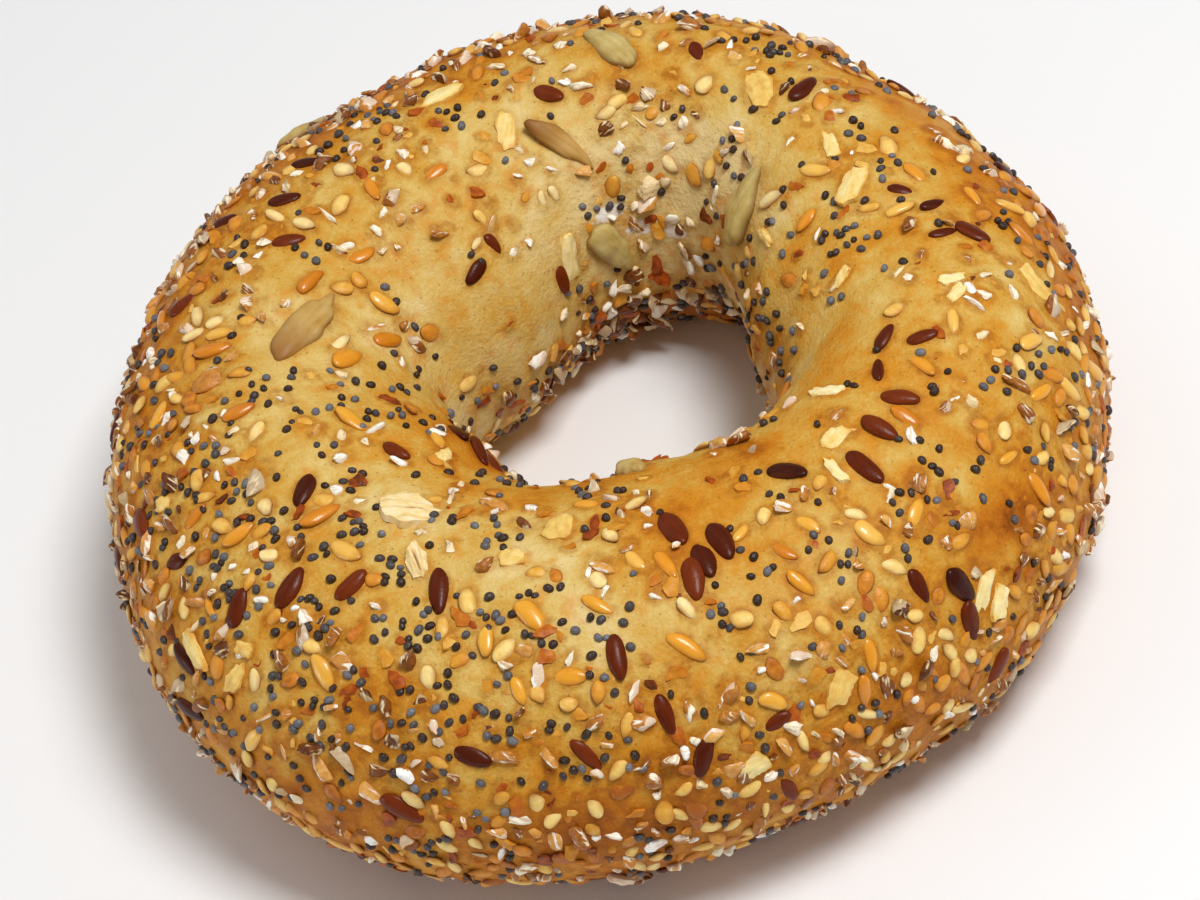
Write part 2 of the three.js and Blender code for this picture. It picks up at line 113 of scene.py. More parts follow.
# Pieces in known places: their kind, the power of their width that makes them thicker, their tone
# where it isn't drawn, and (around, across, turn, length, width) each. Those without a width keep
# their kind's form.
PLACES = [
    ("sunflower", 0, None, [
        (70.6, 88, -50, 9.7, 3.9), (80.5, 124, 120, 10.4, 2.7), (72.8, 168, 116, 9.8, 4.1),
        (34, 140, -81, 10.4, 4.2), (161, 110, 147, 11.4, 4.1), (277, 131, -52, 5, 3), (116, 38, 20, 10, 4),
        (52, 6, 70, 9.6, 3.6),
    ]),
    ("oat", 0, None, [
        (224.4, 103, 38, 7.1, 5.2), (232.8, 87.7, -44, 5.3, 2.5), (128, 22, 30, 6.8, 4.8),
    ]),
    ("flake", 0, None, [
        (12.6, 99, 141, 6.6, 3.4), (42.3, 100, 153, 6.9, 4.1), (84, 162, 76, 7.3, 3.1),
        (91.2, 110, 52, 5.4, 2.7), (99.9, 84, 174, 5.5, 2.4), (257, 103, 85, 4.8, 3.8),
        (249, 93, 13, 3.1, 2.8), (287.7, 27, 44, 5.1, 3.6), (276, 15.5, 26, 3.5, 3),
        (307.8, 23, 43, 6, 2.1), (309, 16, 39, 4.5, 2.4), (348.5, 50, 48, 7.1, 3),
        (310.2, 93, 14, 3.3, 2.9), (304.8, 82.5, 86, 4.2, 1.7), (342.4, 78.4, 145, 4, 1.6),
        (345.1, 79.2, 105, 3.2, 1.8), (320.1, 110.6, 102, 5.2, 1.8), (213.4, 130, 94, 3, 2.2),
        (215, 36, 80, 4.5, 2.5), (207.2, 33.4, 160, 5.6, 2.4), (214.8, 45.2, 12, 2.8, 2.1),
        (188.7, 52, 64, 2.7, 2), (352.5, 116, 118, 3.5, 1.4), (20.3, 137, 12, 4.4, 1.4),
        (22.5, 97.4, 162, 4.6, 2), (3, -8, 30, 5.6, 3), (150, -12, 80, 6.4, 3.4), (68, 30, 10, 5, 2.6),
        (108, 8, 60, 6.8, 3.2), (40, 32, 140, 4.6, 3.4), (88, -15, 0, 5.8, 3.8),
    ]),
    ("brown_flax", 1, None, [
        (277.6, 90.5, -83, 5.5), (283.6, 80.8, -87, 5), (279.9, 76.8, -88, 4.6), (277.2, 72.8, -100, 4.6),
        (264.3, 57.9, -92, 4.8), (268.3, 39.4, -84, 4.2), (271, 23.5, -118, 4.5), (258.7, 32.4, -55, 4.1),
        (246, 34.4, -17, 4.3), (237.6, 14.7, -28, 5), (279.9, 26.1, 12, 3.8), (278.7, 2, -78, 3.9),
        (300.3, 93.1, -53, 4.9), (315, 84.2, -86, 4.5), (308, 78, -90, 5.2), (321.6, 85.5, -70, 4.8),
        (333.8, 87.7, -64, 3.7), (333.6, 100.8, -19, 3.9), (326, 98, 25, 3), (355.6, 78.7, -82, 3.6),
        (355.3, 68.7, -138, 4.5), (301.6, 39.2, -94, 4.4), (305.9, 30.2, -79, 5.2), (304.7, 18.5, -103, 5),
        (306, -5, 46, 5.2), (205.2, 88, -52, 4.8), (216.3, 65.8, 98, 5.1), (211, 53, 110, 4.5),
        (224.9, 74.7, 72, 5), (238.2, 81, -72, 5.1), (197.2, 46.7, 54, 4.1), (206.2, 28.2, -12, 5),
        (187, 40.5, 8, 5), (208, 13, 15, 4.8), (207, 117.2, 18, 4.1), (140.6, 92, 128, 3.7),
        (132.7, 80, 132, 4), (153.8, 60.5, 118, 4.2), (138.2, 61.4, 99, 4), (124, 72.4, 120, 3.6),
        (35.6, 88.3, -74, 4.7), (56, 93, 132, 4), (2.1, 77.8, -76, 3.5), (6.7, 85.5, -131, 3.5),
        (87.6, 166.5, 84, 4.6), (105.7, 138, 92, 3.3), (116, 141.5, 18, 3.6), (81.4, 104, 132, 4.6),
        (196.8, 146.9, -26, 4.8), (210.5, 148, -12, 4.6), (216.4, 153, -8, 4.2),
    ]),
    ("gold_flax", 1, None, [
        (253.3, 73.6, -54, 4.8), (263, 73.2, -42, 3.9), (258.3, 55.2, -6, 3.9), (273.1, 55.4, -51, 4.7),
        (263, 111, -35, 3.6), (269.9, 83.1, -62, 3.4), (274.2, 79.5, -75, 3.7), (287, 80.8, 31, 2.8),
        (280.3, 32.4, -40, 3.8), (292.3, 30.8, -108, 3.4), (290, 22.2, -104, 4), (247, 67, -85, 3.8),
        (251.7, 52.7, -70, 3.4), (328.5, 84.2, -120, 4), (337, 78.6, -168, 3.4), (318.8, 80.3, -91, 3.5),
        (321.6, 45, -22, 3), (332, 44, -30, 3.8), (338, 52, -40, 3.8), (321.5, 30, -106, 4.1),
        (335.4, 33, -91, 4.3), (307.5, 57, 25, 3.8), (300.9, 60.4, -76, 4.4), (289.6, 58.8, -69, 3.6),
        (290.4, 69.2, -62, 3.2), (295.7, 72.8, -66, 3.2), (211.5, 86.3, 81, 4.7), (220.4, 82.3, 0, 4.5),
        (226.3, 49.7, -44, 4.6), (203.3, 67, 80, 4.1), (207, 47, -20, 2.8), (194.6, 59.4, 96, 3.4),
        (205.6, 133, -15, 3.6), (148.8, 106.6, 163, 4.5), (154.5, 137.5, 130, 4.6), (144.2, 131, 98, 4.2),
        (168.8, 121.8, 120, 4.8), (136.2, 115.3, 162, 3.6), (165.8, 78.5, 92, 4.7), (162.4, 80.6, 87, 4),
        (182.3, 84.2, 90, 4), (12.7, 119.7, 110, 3.6), (20.6, 107.5, -134, 4.2), (9.3, 77, -156, 3.7),
        (2.6, 88.7, -86, 3.6), (3.3, 61.9, -168, 3.2), (109.4, 109, 0, 3.6), (67.5, 80, -60, 3.6),
        (122.4, 101.2, 72, 3.6), (128.1, 63.5, 82, 4.6),
    ]),
]
KERNEL_TONES = [0.3, 0.9, 0.1, 0.1, 0.75, 0.4, 0.3, 0.3]  # from grey-green at 0 to tan at 1

# Zones strewn with more seeds: (kind, around from, to, across from, to, how many).
MORE_ZONES = [
    ("brown_flax", 12, 188, -55, 50, 15), ("brown_flax", 195, 345, 160, 212, 2),
    ("brown_flax", 190, 350, -55, -15, 5), ("gold_flax", 0, 360, -60, 240, 22),
    ("sesame", 0, 360, -60, 240, 62),
]
CAD_SEED = 20257
SIZE_RANGE = (0.86, 1.14)
CLEARANCE = 0.78
TRIES = 60

# Bare places: (around, across, reach around, reach across).
BARE_SPOTS = [
    (338, 128, 13, 14), (290, 106, 10, 14), (281, 63, 5, 9), (314, 33, 5, 9), (130, 150, 13, 34),
    (212, 148, 22, 10), (226, 12, 12, 11), (259, 12, 6, 9), (37, 140, 7, 13), (22, 62, 12, 9),
    (100, 175, 12, 20), (352, 106, 8, 7), (268, 64, 5, 6),
]
BARE_SHARE = 0.93
TOP_COVER = 0.42
THICKEST_ACROSS = 10

# ---- The finer pieces, which only the looks have ----

# Bits in known places, as in PLACES.
BITS = [
    ("white", 0.5, None, [
        (55.5, 124.7, 123, 2.6, 2.2), (64.6, 133.2, -132, 2, 1.6), (58.2, 134.8, -150, 2.7, 1),
        (68.2, 134.1, 139, 1.7, 1.5), (62.6, 149.6, -176, 2.4, 2.2), (57.6, 147.5, -147, 2.7, 2.1),
        (67, 125.1, -152, 1.3, 1), (64.5, 124.6, 130, 5, 0.8), (64.6, 119.2, -169, 2.2, 1.1),
        (91.6, 126.9, 165, 1.7, 1.4), (87, 125.6, 168, 2.1, 1.4), (83.7, 130.9, 128, 2.2, 1.1),
        (101, 128.7, -149, 1.8, 1.1), (100.9, 145.1, -168, 1.7, 1.2), (94.7, 146.5, 118, 1.5, 1.1),
        (66.1, 156.1, -148, 1.3, 1.1), (90.5, 177.8, 162, 2.2, 1.5), (77.8, 191.1, -148, 2.1, 1.3),
        (45.1, 146.7, 91, 3.6, 1), (66.5, 206, 84, 6, 1.9), (58.5, 212, 74, 4.4, 1.3),
        (59.9, 199.6, 120, 3.2, 1.2), (137, 108.8, 147, 3, 1.8), (132, 95.9, 79, 3, 0.8),
        (129.5, 121.1, 104, 1.2, 0.8), (263.7, -6.3, -10, 2.5, 2.5), (267.7, -10, 37, 1.8, 1.3),
        (277.3, 9.5, 30, 2.4, 1.3), (294.8, 9.4, 52, 1.4, 1.1), (200.8, 135.9, 76, 1.8, 1.4),
        (228.3, 120.8, 104, 3.4, 1.4), (230.2, 114.7, 109, 2.6, 1.4), (274.2, 100.1, -42, 2.1, 1.7),
        (273.7, 93.4, 48, 1.2, 0.9), (262.1, 83.9, 67, 2.1, 0.9), (264.3, 76.4, 28, 1.3, 1),
        (280.2, 41.5, 30, 1.5, 0.9), (61.6, 91.7, 20, 2, 1.5), (79, 80, 70, 2.2, 1.4),
        (84.4, 80, 10, 1.9, 1.5), (89.4, 81.7, 140, 2.3, 1.3), (106.6, 76, 30, 2.4, 1.3),
        (83.8, 96, 80, 1.8, 1.4), (107.8, 101, 110, 2.6, 1.5), (112, 97, 60, 2.2, 1.4),
        (109.7, 87.5, 20, 2, 1.4), (113.8, 73, 150, 2.4, 1.2), (71.3, 158, 40, 1.9, 1.5),
        (175, 118.3, 70, 2.1, 1.3), (146.9, 80, 120, 1.9, 1.3), (203, 102.5, 100, 2.6, 1.6),
        (210.6, 116, 30, 2.4, 1.6), (196.9, 140, 60, 2, 1.4), (230, 98, 130, 1.9, 1.3),
        (230, 72, 10, 2, 1.3), (237, 96, 80, 1.8, 1.4), (214.4, 44, 50, 2.2, 1.5), (249, 116, 90, 2, 1.4),
        (241, 111.7, 20, 2.3, 1.3), (271, 71.7, 140, 1.8, 1.2), (258.6, 60, 60, 2.1, 1.4),
        (307.8, 68, 100, 2.6, 1.2), (316.6, 75, 40, 2.2, 1.4), (332.5, 62.5, 70, 2, 1.3),
        (336, 68, 120, 1.9, 1.3), (344.4, 58, 20, 2.6, 1.3), (341, 44, 80, 2.1, 1.2),
        (346, 94, 50, 2.4, 1.4), (352, 120, 100, 2.3, 1.2), (28, 86, 30, 2.4, 1.4), (52, 83, 130, 2, 1.3),
        (227.1, 123.8, 60, 1.8, 1.3), (307, 65.5, 20, 1.8, 1.1), (137.8, 108, 100, 2, 1.2),
    ]),
    ("sesame", 0.5, 0.05, [  # cream
        (26, 127.6, -113, 3.8, 1.8), (21.3, 137.9, -167, 3.6, 1.3), (87.4, 138.4, 78, 2.5, 1.2),
        (84, 139.1, 95, 2.5, 1.2), (110.5, 134.4, -172, 2, 1.1), (157.9, 70.7, 22, 3.7, 1.8),
        (136.5, 82.5, 82, 3.6, 1.4), (136.1, 92.8, 98, 3.4, 1.6), (164.3, 120.3, 138, 3.9, 1.4),
        (114, 102.1, 94, 2.3, 1.5), (159.7, 78.3, 106, 2.5, 1.5), (294.9, 17.3, -18, 2.2, 1.7),
        (289.3, 14.4, -36, 3, 1.2), (300.5, -10.9, -38, 3.4, 1.8), (302.9, 8.6, 4, 1.9, 1.8),
        (281.7, 17.1, -88, 2.8, 1.4), (283.3, 7.6, 24, 2.1, 1.6), (290.8, -0.8, 20, 2.1, 1.9),
        (269.9, -4.2, -13, 2.5, 1.8), (267.1, 4.3, -60, 3.1, 1.3), (276, -1.5, 76, 3.4, 0.9),
        (278.3, -8.1, 4, 2, 1.8), (260.9, -17.6, -62, 3.8, 1.4), (274.8, 65.2, -68, 2.9, 1.7),
        (254, 13.1, 40, 3.1, 1.7), (239.1, 18.8, -24, 2.7, 1.9), (242.5, 8.9, -73, 2.7, 1.6),
        (245, 3.2, -62, 2.2, 1.7), (241.9, 0.7, -40, 3.3, 1.6), (266.8, 94.1, -72, 2.4, 1.6),
    ]),
    ("sesame", 0.5, 0.8, [  # amber
        (70.6, 147.3, 76, 3.3, 1.9), (51.5, 143.6, 141, 3.6, 2.1), (45.2, 132.4, 141, 2, 1.6),
        (53.1, 129.7, -144, 2.4, 1), (91, 133.9, -162, 2.1, 1.2), (295.1, 6.7, -84, 3.8, 1.6),
        (287.4, 12.1, -58, 3.4, 1.7), (301.3, 3.9, -80, 3.8, 1.9),
    ]),
    ("grain", 0.5, None, [
        (123, 78.4, 126, 3.1, 2.5), (154.8, 80.1, 130, 2.4, 1.3), (275, 33.2, -45, 2.6, 2.1),
        (265.2, 20, -38, 3.2, 2.5), (248.9, 106.6, -48, 3.4, 1.7), (269.7, 100.3, -71, 2.7, 1.5),
        (197, 80.8, 129, 4.5, 3), (172.4, 77.5, 105, 4.5, 3), (153.6, 131.7, 134, 4.2, 1.9),
        (117.2, 83.5, 20, 3.3, 3.1),
    ]),
]
# Places strewn more thickly: (around, across, reach around, reach across, times as thick).
GRAIN_PATCHES = [
    (112, 88, 9, 16, 3.0), (248, 108, 6, 8, 3.0), (290, 2, 45, 22, 3.2), (68, 140, 34, 34, 2.4),
    (75, 200, 30, 22, 2.6), (115, 55, 45, 20, 2.4), (268, 112, 5, 6, 1.5), (195, 50, 20, 30, 1.4),
    (150, 30, 30, 30, 1.5), (240, 0, 26, 14, 1.4), (75, 190, 32, 12, 5.0),
]
SESAME_PATCHES = [(300, 10, 45, 22, 2.0), (250, -5, 30, 16, 1.5), (350, 40, 20, 30, 0.8)]
POPPY_PATCHES = [
    (190, 62, 24, 26, 2.6), (235, 55, 16, 24, 2.6), (258, 42, 14, 20, 1.6), (205, 75, 20, 20, 1.6),
    (110, 85, 10, 18, 1.6), (225, 30, 24, 14, 1.2), (128, 195, 10, 12, 2.0), (178, 100, 10, 14, 1.2),
    (75, 125, 36, 45, -0.7), (145, 115, 26, 34, -0.55), (335, 85, 26, 45, -0.35), (285, 90, 22, 24, -0.4),
]
# Over the whole crust: (kind, how many, sizes, seed, patches, evenness, how often one more lies
# beside the last, and how many lengths from it).
FINE = [
    ("sesame", 560, (0.78, 1.08), 11, SESAME_PATCHES, 1.4, 0.0, (0.9, 1.4)),
    ("grain", 820, (0.6, 1.3), 12, GRAIN_PATCHES, 1.6, 0.4, (0.9, 1.4)),
    ("white", 270, (0.65, 1.35), 13, GRAIN_PATCHES, 1.4, 0.4, (0.9, 1.4)),
    ("bran", 900, (0.45, 1.3), 14, GRAIN_PATCHES, 1.6, 0.4, (0.9, 1.4)),
    ("poppy", 1700, (0.82, 1.12), 15, POPPY_PATCHES, 0.9, 0.5, (1.0, 2.6)),
]
FINE_CLEARANCE = 0.56
FINE_MARGIN = 2  # degrees across that stay free beside the base
SECTION_RADIUS = 19.0  # of the ring's own thickness, roughly

# On the far rim of the hole: (kind, how many, sizes, seed, and a tone where it isn't drawn).
ON_RIM = [
    ("grain", 34, (0.8, 1.5), 20, 0.1), ("white", 22, (0.9, 1.7), 31), ("bran", 50, (0.7, 1.5), 32),
    ("poppy", 60, (0.9, 1.1), 33),
]
CROWDED_RIM = (76, 203, 20, 8)  # around, across, spread around, spread across
LAST_RIM_ACROSS = HIGHEST_ACROSS - 8
RIM_CLEARANCE = 0.42

# In the base: (kind, how many, seed).
UNDER = [("sesame", 46, 16), ("grain", 40, 17), ("bran", 40, 18), ("poppy", 110, 19)]
UNDER_SPAN = (0.05, 0.95)  # where they lie between the base's two edges
UNDER_SIZES = (0.8, 1.15)

# Shares of a piece's height: how far it sits from its usual depth, and how far grain is raised.
SETTLING = (-0.18, 0.05)
RAISED_SPREAD = 0.25
MOST_RAISED = 0.4
TABLE_GAP = 0.02  # no piece comes nearer the table than this

# ---- The colours of the crust ----

# How toasted the crust is over the ring: (across, toast from 0 to 1).
TOAST_OVER_RING = [
    (-64, 0.68), (-20, 0.56), (8, 0.48), (40, 0.41), (75, 0.38), (105, 0.34), (135, 0.28), (165, 0.24),
    (200, 0.24), (244, 0.34),
]
# Patches: (around, across, reach around, reach across, change of toast or amount of flour).
# Some toast patches are painted shade, darker on the hole's right wall and on the low edge of the
# hole's far wall, and one is painted light, lighter low on the left outside.
TOAST_AND_SHADE_PATCHES = [
    (314, 33, 6, 10, 0.4), (22, 58, 22, 16, 0.12), (60, 62, 30, 12, 0.06), (300, 112, 22, 14, 0.14),
    (335, 122, 14, 14, 0.16), (262, 67, 14, 12, -0.24), (200, 100, 40, 20, -0.1), (245, 88, 14, 12, -0.18),
    (160, 118, 24, 20, -0.1), (228, 10, 26, 16, 0.06), (262, 10, 14, 12, 0.14), (32, 140, 18, 18, -0.12),
    (70, 150, 30, 34, -0.2), (348, 28, 8, 10, 0.2), (100, 150, 20, 24, 0.03), (124, 130, 14, 20, 0.06),
    (283, 100, 9, 12, 0.15), (200, 150, 24, 18, 0.3), (270, 130, 22, 14, 0.2), (190, 108, 14, 14, 0.04),
    (220, 90, 14, 12, 0.1), (8, 152, 22, 20, 0.12), (62, 206, 24, 10, 0.4), (135, 152, 24, 24, -0.02),
    (228, 102, 10, 12, -0.22), (50, 130, 34, 18, -0.16), (270, 0, 30, 12, 0.12), (165, 105, 14, 12, 0.12),
    (210, 148, 24, 10, 0.14), (265, 128, 20, 12, 0.12), (345, 46, 12, 12, -0.16), (240, 128, 40, 14, 0.14),
    (275, 88, 14, 10, 0.12), (310, 95, 40, 22, 0.04), (15, 32, 25, 24, 0.26), (115, 50, 40, 16, 0.24),
    (6, 165, 26, 18, 0.17), (172, -8, 18, 14, -0.2), (112, 66, 14, 12, 0.22), (305, 110, 10, 8, 0.04),
    (330, 92, 12, 10, 0.1), (208, 148, 20, 12, 0.2), (60, 128, 20, 12, -0.08), (75, 224, 40, 13, 0.7),
]
FLOUR_PATCHES = [
    (76, 152, 16, 12, 0.22), (60, 165, 14, 14, 0.24), (72, 155.7, 3.6, 3, 1.3), (63.6, 165, 5, 2.6, 1.3),
    (57.4, 167.5, 3.6, 2.4, 1.3), (263, 71, 12, 9, 0.36), (225, 88, 9, 8, 0.38), (233, 62, 8, 7, 0.25),
]

# ---- The camera and the light ----

CAMERA_ELEVATION = 47.2  # degrees above the table, looking along +Y
CAMERA_ROLL = 16.15  # degrees that the picture is turned anticlockwise
CAMERA_DISTANCE = 440.7
CAMERA_TARGET = (-0.41, -3.62, 18.97)  # in the ring's own place, before it is centred
CAMERA_LENS = 116.9
SENSOR_WIDTH = 36.0
# Name, place and size in metres, and power in watts.
LIGHTS = [
    ("key", (0.19, -0.13, 0.6), 0.2, 3.12), ("back", (-0.3, 0.35, 0.5), 0.5, 0.35),
    ("side", (-0.55, -0.1, 0.07), 0.2, 0.55),
]
SURROUND_LIGHT = 0.29
HALF_TABLE = 3.0  # metres


# ---- Arithmetic ----

class Draws:
    """The CAD model's own repeatable draws."""

    def __init__(self, state):
        self.state = state

    def one(self):
        self.state = (1664525 * self.state + 1013904223) & 0xFFFFFFFF
        return self.state / 4294967296

    def uniform(self, low, high):
        return low + (high - low) * self.one()


def smooth(value, low, high):
    """0 below low, 1 above high, and smooth between them."""
    share = np.clip((value - low) / (high - low), 0, 1)
    return share * share * (3 - 2 * share)


def linear(red, green, blue):
    """A colour given as 0 to 255 on screen, as the linear values that shaders use."""
    channels = []
    for value in (red, green, blue):
        share = value / 255
        channels.append(share / 12.92 if share <= 0.04045 else ((share + 0.055) / 1.055) ** 2.4)
    return (*channels, 1.0)


def unit(vectors):
    return vectors / np.linalg.norm(vectors, axis=-1, keepdims=True)


def apart(around, across, spot):
    """How far a place is from a soft spot, as a squared share of the spot's reach."""
    spot_around, spot_across, reach_around, reach_across = spot[:4]
    away = ((around - spot_around + 540) % 360 - 180) / reach_around
    over = (across - spot_across) / reach_across
    return away * away + over * over


def patches(around, across, spots):
    """The sum of soft spots, each (around, across, reach around, reach across, amount)."""
    total = 0.0
    for spot in spots:
        total = total + spot[4] * np.exp(-apart(around, across, spot))
    return total


# ---- The crust ----

def uneven(mean, waves, around):
    """The mean size changed by a list of waves round the ring."""
    share = 1.0
    for lobes, cosine, sine in waves:
        angle = np.radians(lobes * around)
        share = share + cosine * np.cos(angle) + sine * np.sin(angle)
    return mean * share


def lumps(around, across):
    height = 0.0
    for size, turns_around, turns_across, start in LUMPS:
        height = height + size * np.sin(np.radians(turns_around * around + turns_across * across + start))
    return height


def ring_point(around, across):
    """A point of the crust before the ring is set over the origin."""
    outer = uneven(RING_RADIUS, RING_WAVES, around)
    inner = uneven(HOLE_RADIUS, HOLE_WAVES, around)
    height = uneven(RING_HEIGHT, HEIGHT_WAVES, around)
    waist = WAIST_SHARE * height
    cosine = np.cos(np.radians(across))
    sine = np.sin(np.radians(across))
    rise = np.where(sine >= 0, height - waist, BELLY_SHARE * waist)
    level = waist + rise * sine
    bump = lumps(around, across) * smooth(level, 0, RELIEF_FADE)
    radius = (outer + inner) / 2 + ((outer - inner) / 2 + bump) * cosine
    angle = np.radians(around)
    z = np.maximum(0, level + bump * sine)
    return np.stack(np.broadcast_arrays(radius * np.cos(angle), radius * np.sin(angle), z), axis=-1)


def ring_middle():
    outline = ring_point(np.arange(0.0, 360.0, 1.0), 0.0)
    middle = (outline.min(axis=0) + outline.max(axis=0)) / 2
    middle[2] = 0
    return middle


RING_MIDDLE = ring_middle()


def crust_point(around, across):
    return ring_point(around, across) - RING_MIDDLE


def crust_frame(around, across):
    """The crust's directions at one place: along, across and straight out."""
    step = 0.5
    along = crust_point(around + step, across) - crust_point(around - step, across)
    over = crust_point(around, across + step) - crust_point(around, across - step)
    out = unit(np.cross(along, over))
    along = unit(along)
    return along, np.cross(out, along), out


def base_height(share):
    """How far the flat base is off the table, from its edge at the hole to the outer edge."""
    return BASE_HOLLOW * math.sin(math.pi * share) ** 0.5


def toast_and_shade_at(around, across):
    """How toasted the crust is, from 0 for pale to 1 for dark, with painted shade and light in places."""
    places, toasts = zip(*TOAST_OVER_RING)
    return np.interp(across, places, toasts) + patches(around, across, TOAST_AND_SHADE_PATCHES)


# ---- Where the pieces go ----

def cover(around, across):
    """How thickly the crust is strewn at one place, from 0 to 1."""
    outside = max(0.0, math.cos(math.radians(across - THICKEST_ACROSS)))
    share = TOP_COVER + (1 - TOP_COVER) * outside
    for spot in BARE_SPOTS:
        share *= 1 - BARE_SHARE * math.exp(-apart(around, across, spot))
    return share


class Strewn:
    """Every piece on the crust, and what is near a place."""

    CELL = 7.0

    def __init__(self):
        self.cells = {}
        self.kinds = {}

    def cell(self, spot):
        return tuple(int(math.floor(value / self.CELL)) for value in spot)

    def place(self, name, around, across, turn, stretch, tone=None):
        """Notes a piece on the crust, with its length, width and height as shares of its kind's."""
        spot = crust_point(around, across)
        return self.note(name, around, across, turn, stretch, spot, crust_frame(around, across), tone)

    def note(self, name, around, across, turn, stretch, spot, ways, tone=None):
        halves = (0.5 * KINDS[name]["length"] * stretch[0], 0.5 * KINDS[name]["width"] * stretch[1])
        piece = dict(
            around=around, across=across, turn=turn, stretch=stretch, spot=spot, ways=ways,
            halves=halves, tone=tone,
        )
        self.kinds.setdefault(name, []).append(piece)
        self.cells.setdefault(self.cell(spot), []).append((spot, halves[0]))
        return piece

    def is_free(self, spot, reach, clearance):
        x, y, z = self.cell(spot)
        for cell in itertools.product((x - 1, x, x + 1), (y - 1, y, y + 1), (z - 1, z, z + 1)):
            for other, other_reach in self.cells.get(cell, ()):
                if math.dist(spot, other) < clearance * (reach + other_reach):
                    return False
        return True


strewn = Strewn()
cad_draws = Draws(CAD_SEED)


def place_given(name, thicker, tone, places):
    """Pieces in known places, the wider ones thicker by this power of their width."""
    for around, across, turn, length, *width in places:
        long = length / KINDS[name]["length"]
        wide = width[0] / KINDS[name]["width"] if width else long
        strewn.place(name, around, across, turn, (long, wide, wide ** thicker), tone)


def until(count, attempt):
    """Tries until this many pieces are placed, or the tries run out."""
    left = count
    for _ in range(count * TRIES):
        if left and attempt():
            left -= 1


def settle(name, around, across, turn, scale, chance, share, clearance):
    """Places a piece, unless its chance, the table or another piece is against it."""
    spot = crust_point(around, across)
    area = math.hypot(spot[0], spot[1]) / RING_RADIUS
    reach = 0.5 * KINDS[name]["length"] * scale
    if chance >= area * share or spot[2] < reach or not strewn.is_free(spot, reach, clearance):
        return None
    return strewn.place(name, around, across, turn, (scale,) * 3)


def place_scattered(name, around_low, around_high, across_low, across_high, count):
    """More pieces of one kind, by the same draws as in the CAD model."""
    def attempt():
        around = cad_draws.uniform(around_low, around_high)
        across = cad_draws.uniform(across_low, across_high)
        chance = cad_draws.one()
        turn = cad_draws.uniform(0, 180)
        scale = cad_draws.uniform(*SIZE_RANGE)
        return settle(name, around, across, turn, scale, chance, cover(around, across), CLEARANCE)

    until(count, attempt)


def place_fine(name, count, sizes, seed, spots, evenness, company, distances):
    """Small pieces over the whole crust, thicker in the given spots, some in company."""
    draws = random.Random(seed)
    thickest = 1 + max(spot[4] for spot in spots)
    beside = None

    def attempt():
        nonlocal beside
        if beside is not None and draws.random() < company:
            distance = KINDS[name]["length"] * draws.uniform(*distances)
            around, across = next_to(beside, distance, draws)
            chance = 0.0
        else:
            around = draws.uniform(0, 360)
            across = draws.uniform(LOWEST_ACROSS + FINE_MARGIN, HIGHEST_ACROSS - FINE_MARGIN)
            chance = draws.random() * thickest
        turn = draws.uniform(0, 360)
        scale = draws.uniform(*sizes)
        share = cover(around, across) ** evenness * (1 + patches(around, across, spots))
        beside = settle(name, around, across, turn, scale, chance, share, FINE_CLEARANCE)
        return beside

    until(count, attempt)


def next_to(piece, distance, draws):
    """A place on the crust at this distance from a piece, in any direction."""
    way = draws.uniform(0, 2 * math.pi)
    radius = math.hypot(piece["spot"][0], piece["spot"][1])
    around = piece["around"] + math.degrees(distance * math.cos(way) / radius)
    across = piece["across"] + math.degrees(distance * math.sin(way) / SECTION_RADIUS)
    return around % 360, min(max(across, LOWEST_ACROSS), HIGHEST_ACROSS)


def place_rim(name, count, sizes, seed, tone=None):
    """Small pieces crowded on the far rim of the hole."""
    draws = random.Random(seed)
    rim_around, rim_across, spread_around, spread_across = CROWDED_RIM

    def attempt():
        around = draws.gauss(rim_around, spread_around)
        across = min(draws.gauss(rim_across, spread_across), LAST_RIM_ACROSS)
        turn = draws.uniform(0, 360)
        scale = draws.uniform(*sizes)
        reach = 0.5 * KINDS[name]["length"] * scale
        if not strewn.is_free(crust_point(around, across), reach, RIM_CLEARANCE):
            return None
        return strewn.place(name, around, across, turn, (scale,) * 3, tone)

    until(count, attempt)


def place_under(name, count, seed):
    """Pieces pressed flat into the base."""
    draws = random.Random(seed)

    def attempt():
        around = draws.uniform(0, 360)
        share = draws.uniform(*UNDER_SPAN)
        chance = draws.random()
        turn = draws.uniform(0, 360)
        scale = draws.uniform(*UNDER_SIZES)
        inside = crust_point(around, HIGHEST_ACROSS)
        spot = inside + share * (crust_point(around, LOWEST_ACROSS) - inside)
        spot[2] = base_height(share)
        area = math.hypot(spot[0], spot[1]) / RING_RADIUS
        reach = 0.5 * KINDS[name]["length"] * scale
        if chance >= area or not strewn.is_free(spot, reach, FINE_CLEARANCE):
            return None
        angle = math.radians(around)
        along = np.array([-math.sin(angle), math.cos(angle), 0.0])
        out = np.array([0.0, 0.0, -1.0])
        ways = (along, np.cross(out, along), out)
        return strewn.note(name, around, LOWEST_ACROSS, turn, (scale,) * 3, spot, ways)

    until(count, attempt)


def place_all():
    for settings in PLACES:
        place_given(*settings)
    for zone in MORE_ZONES:
        place_scattered(*zone)
    for name in ("oat", "flake"):
        for piece in strewn.kinds[name]:
            piece["corners"] = flake_corners(KINDS[name], cad_draws)
    for piece, tone in zip(strewn.kinds["sunflower"], KERNEL_TONES):
        piece["tone"] = tone
    for settings in BITS:
        place_given(*settings)
    for settings in ON_RIM:
        place_rim(*settings)
    for settings in FINE:
        place_fine(*settings)
    for settings in UNDER:
        place_under(*settings)


# ---- The bread ----

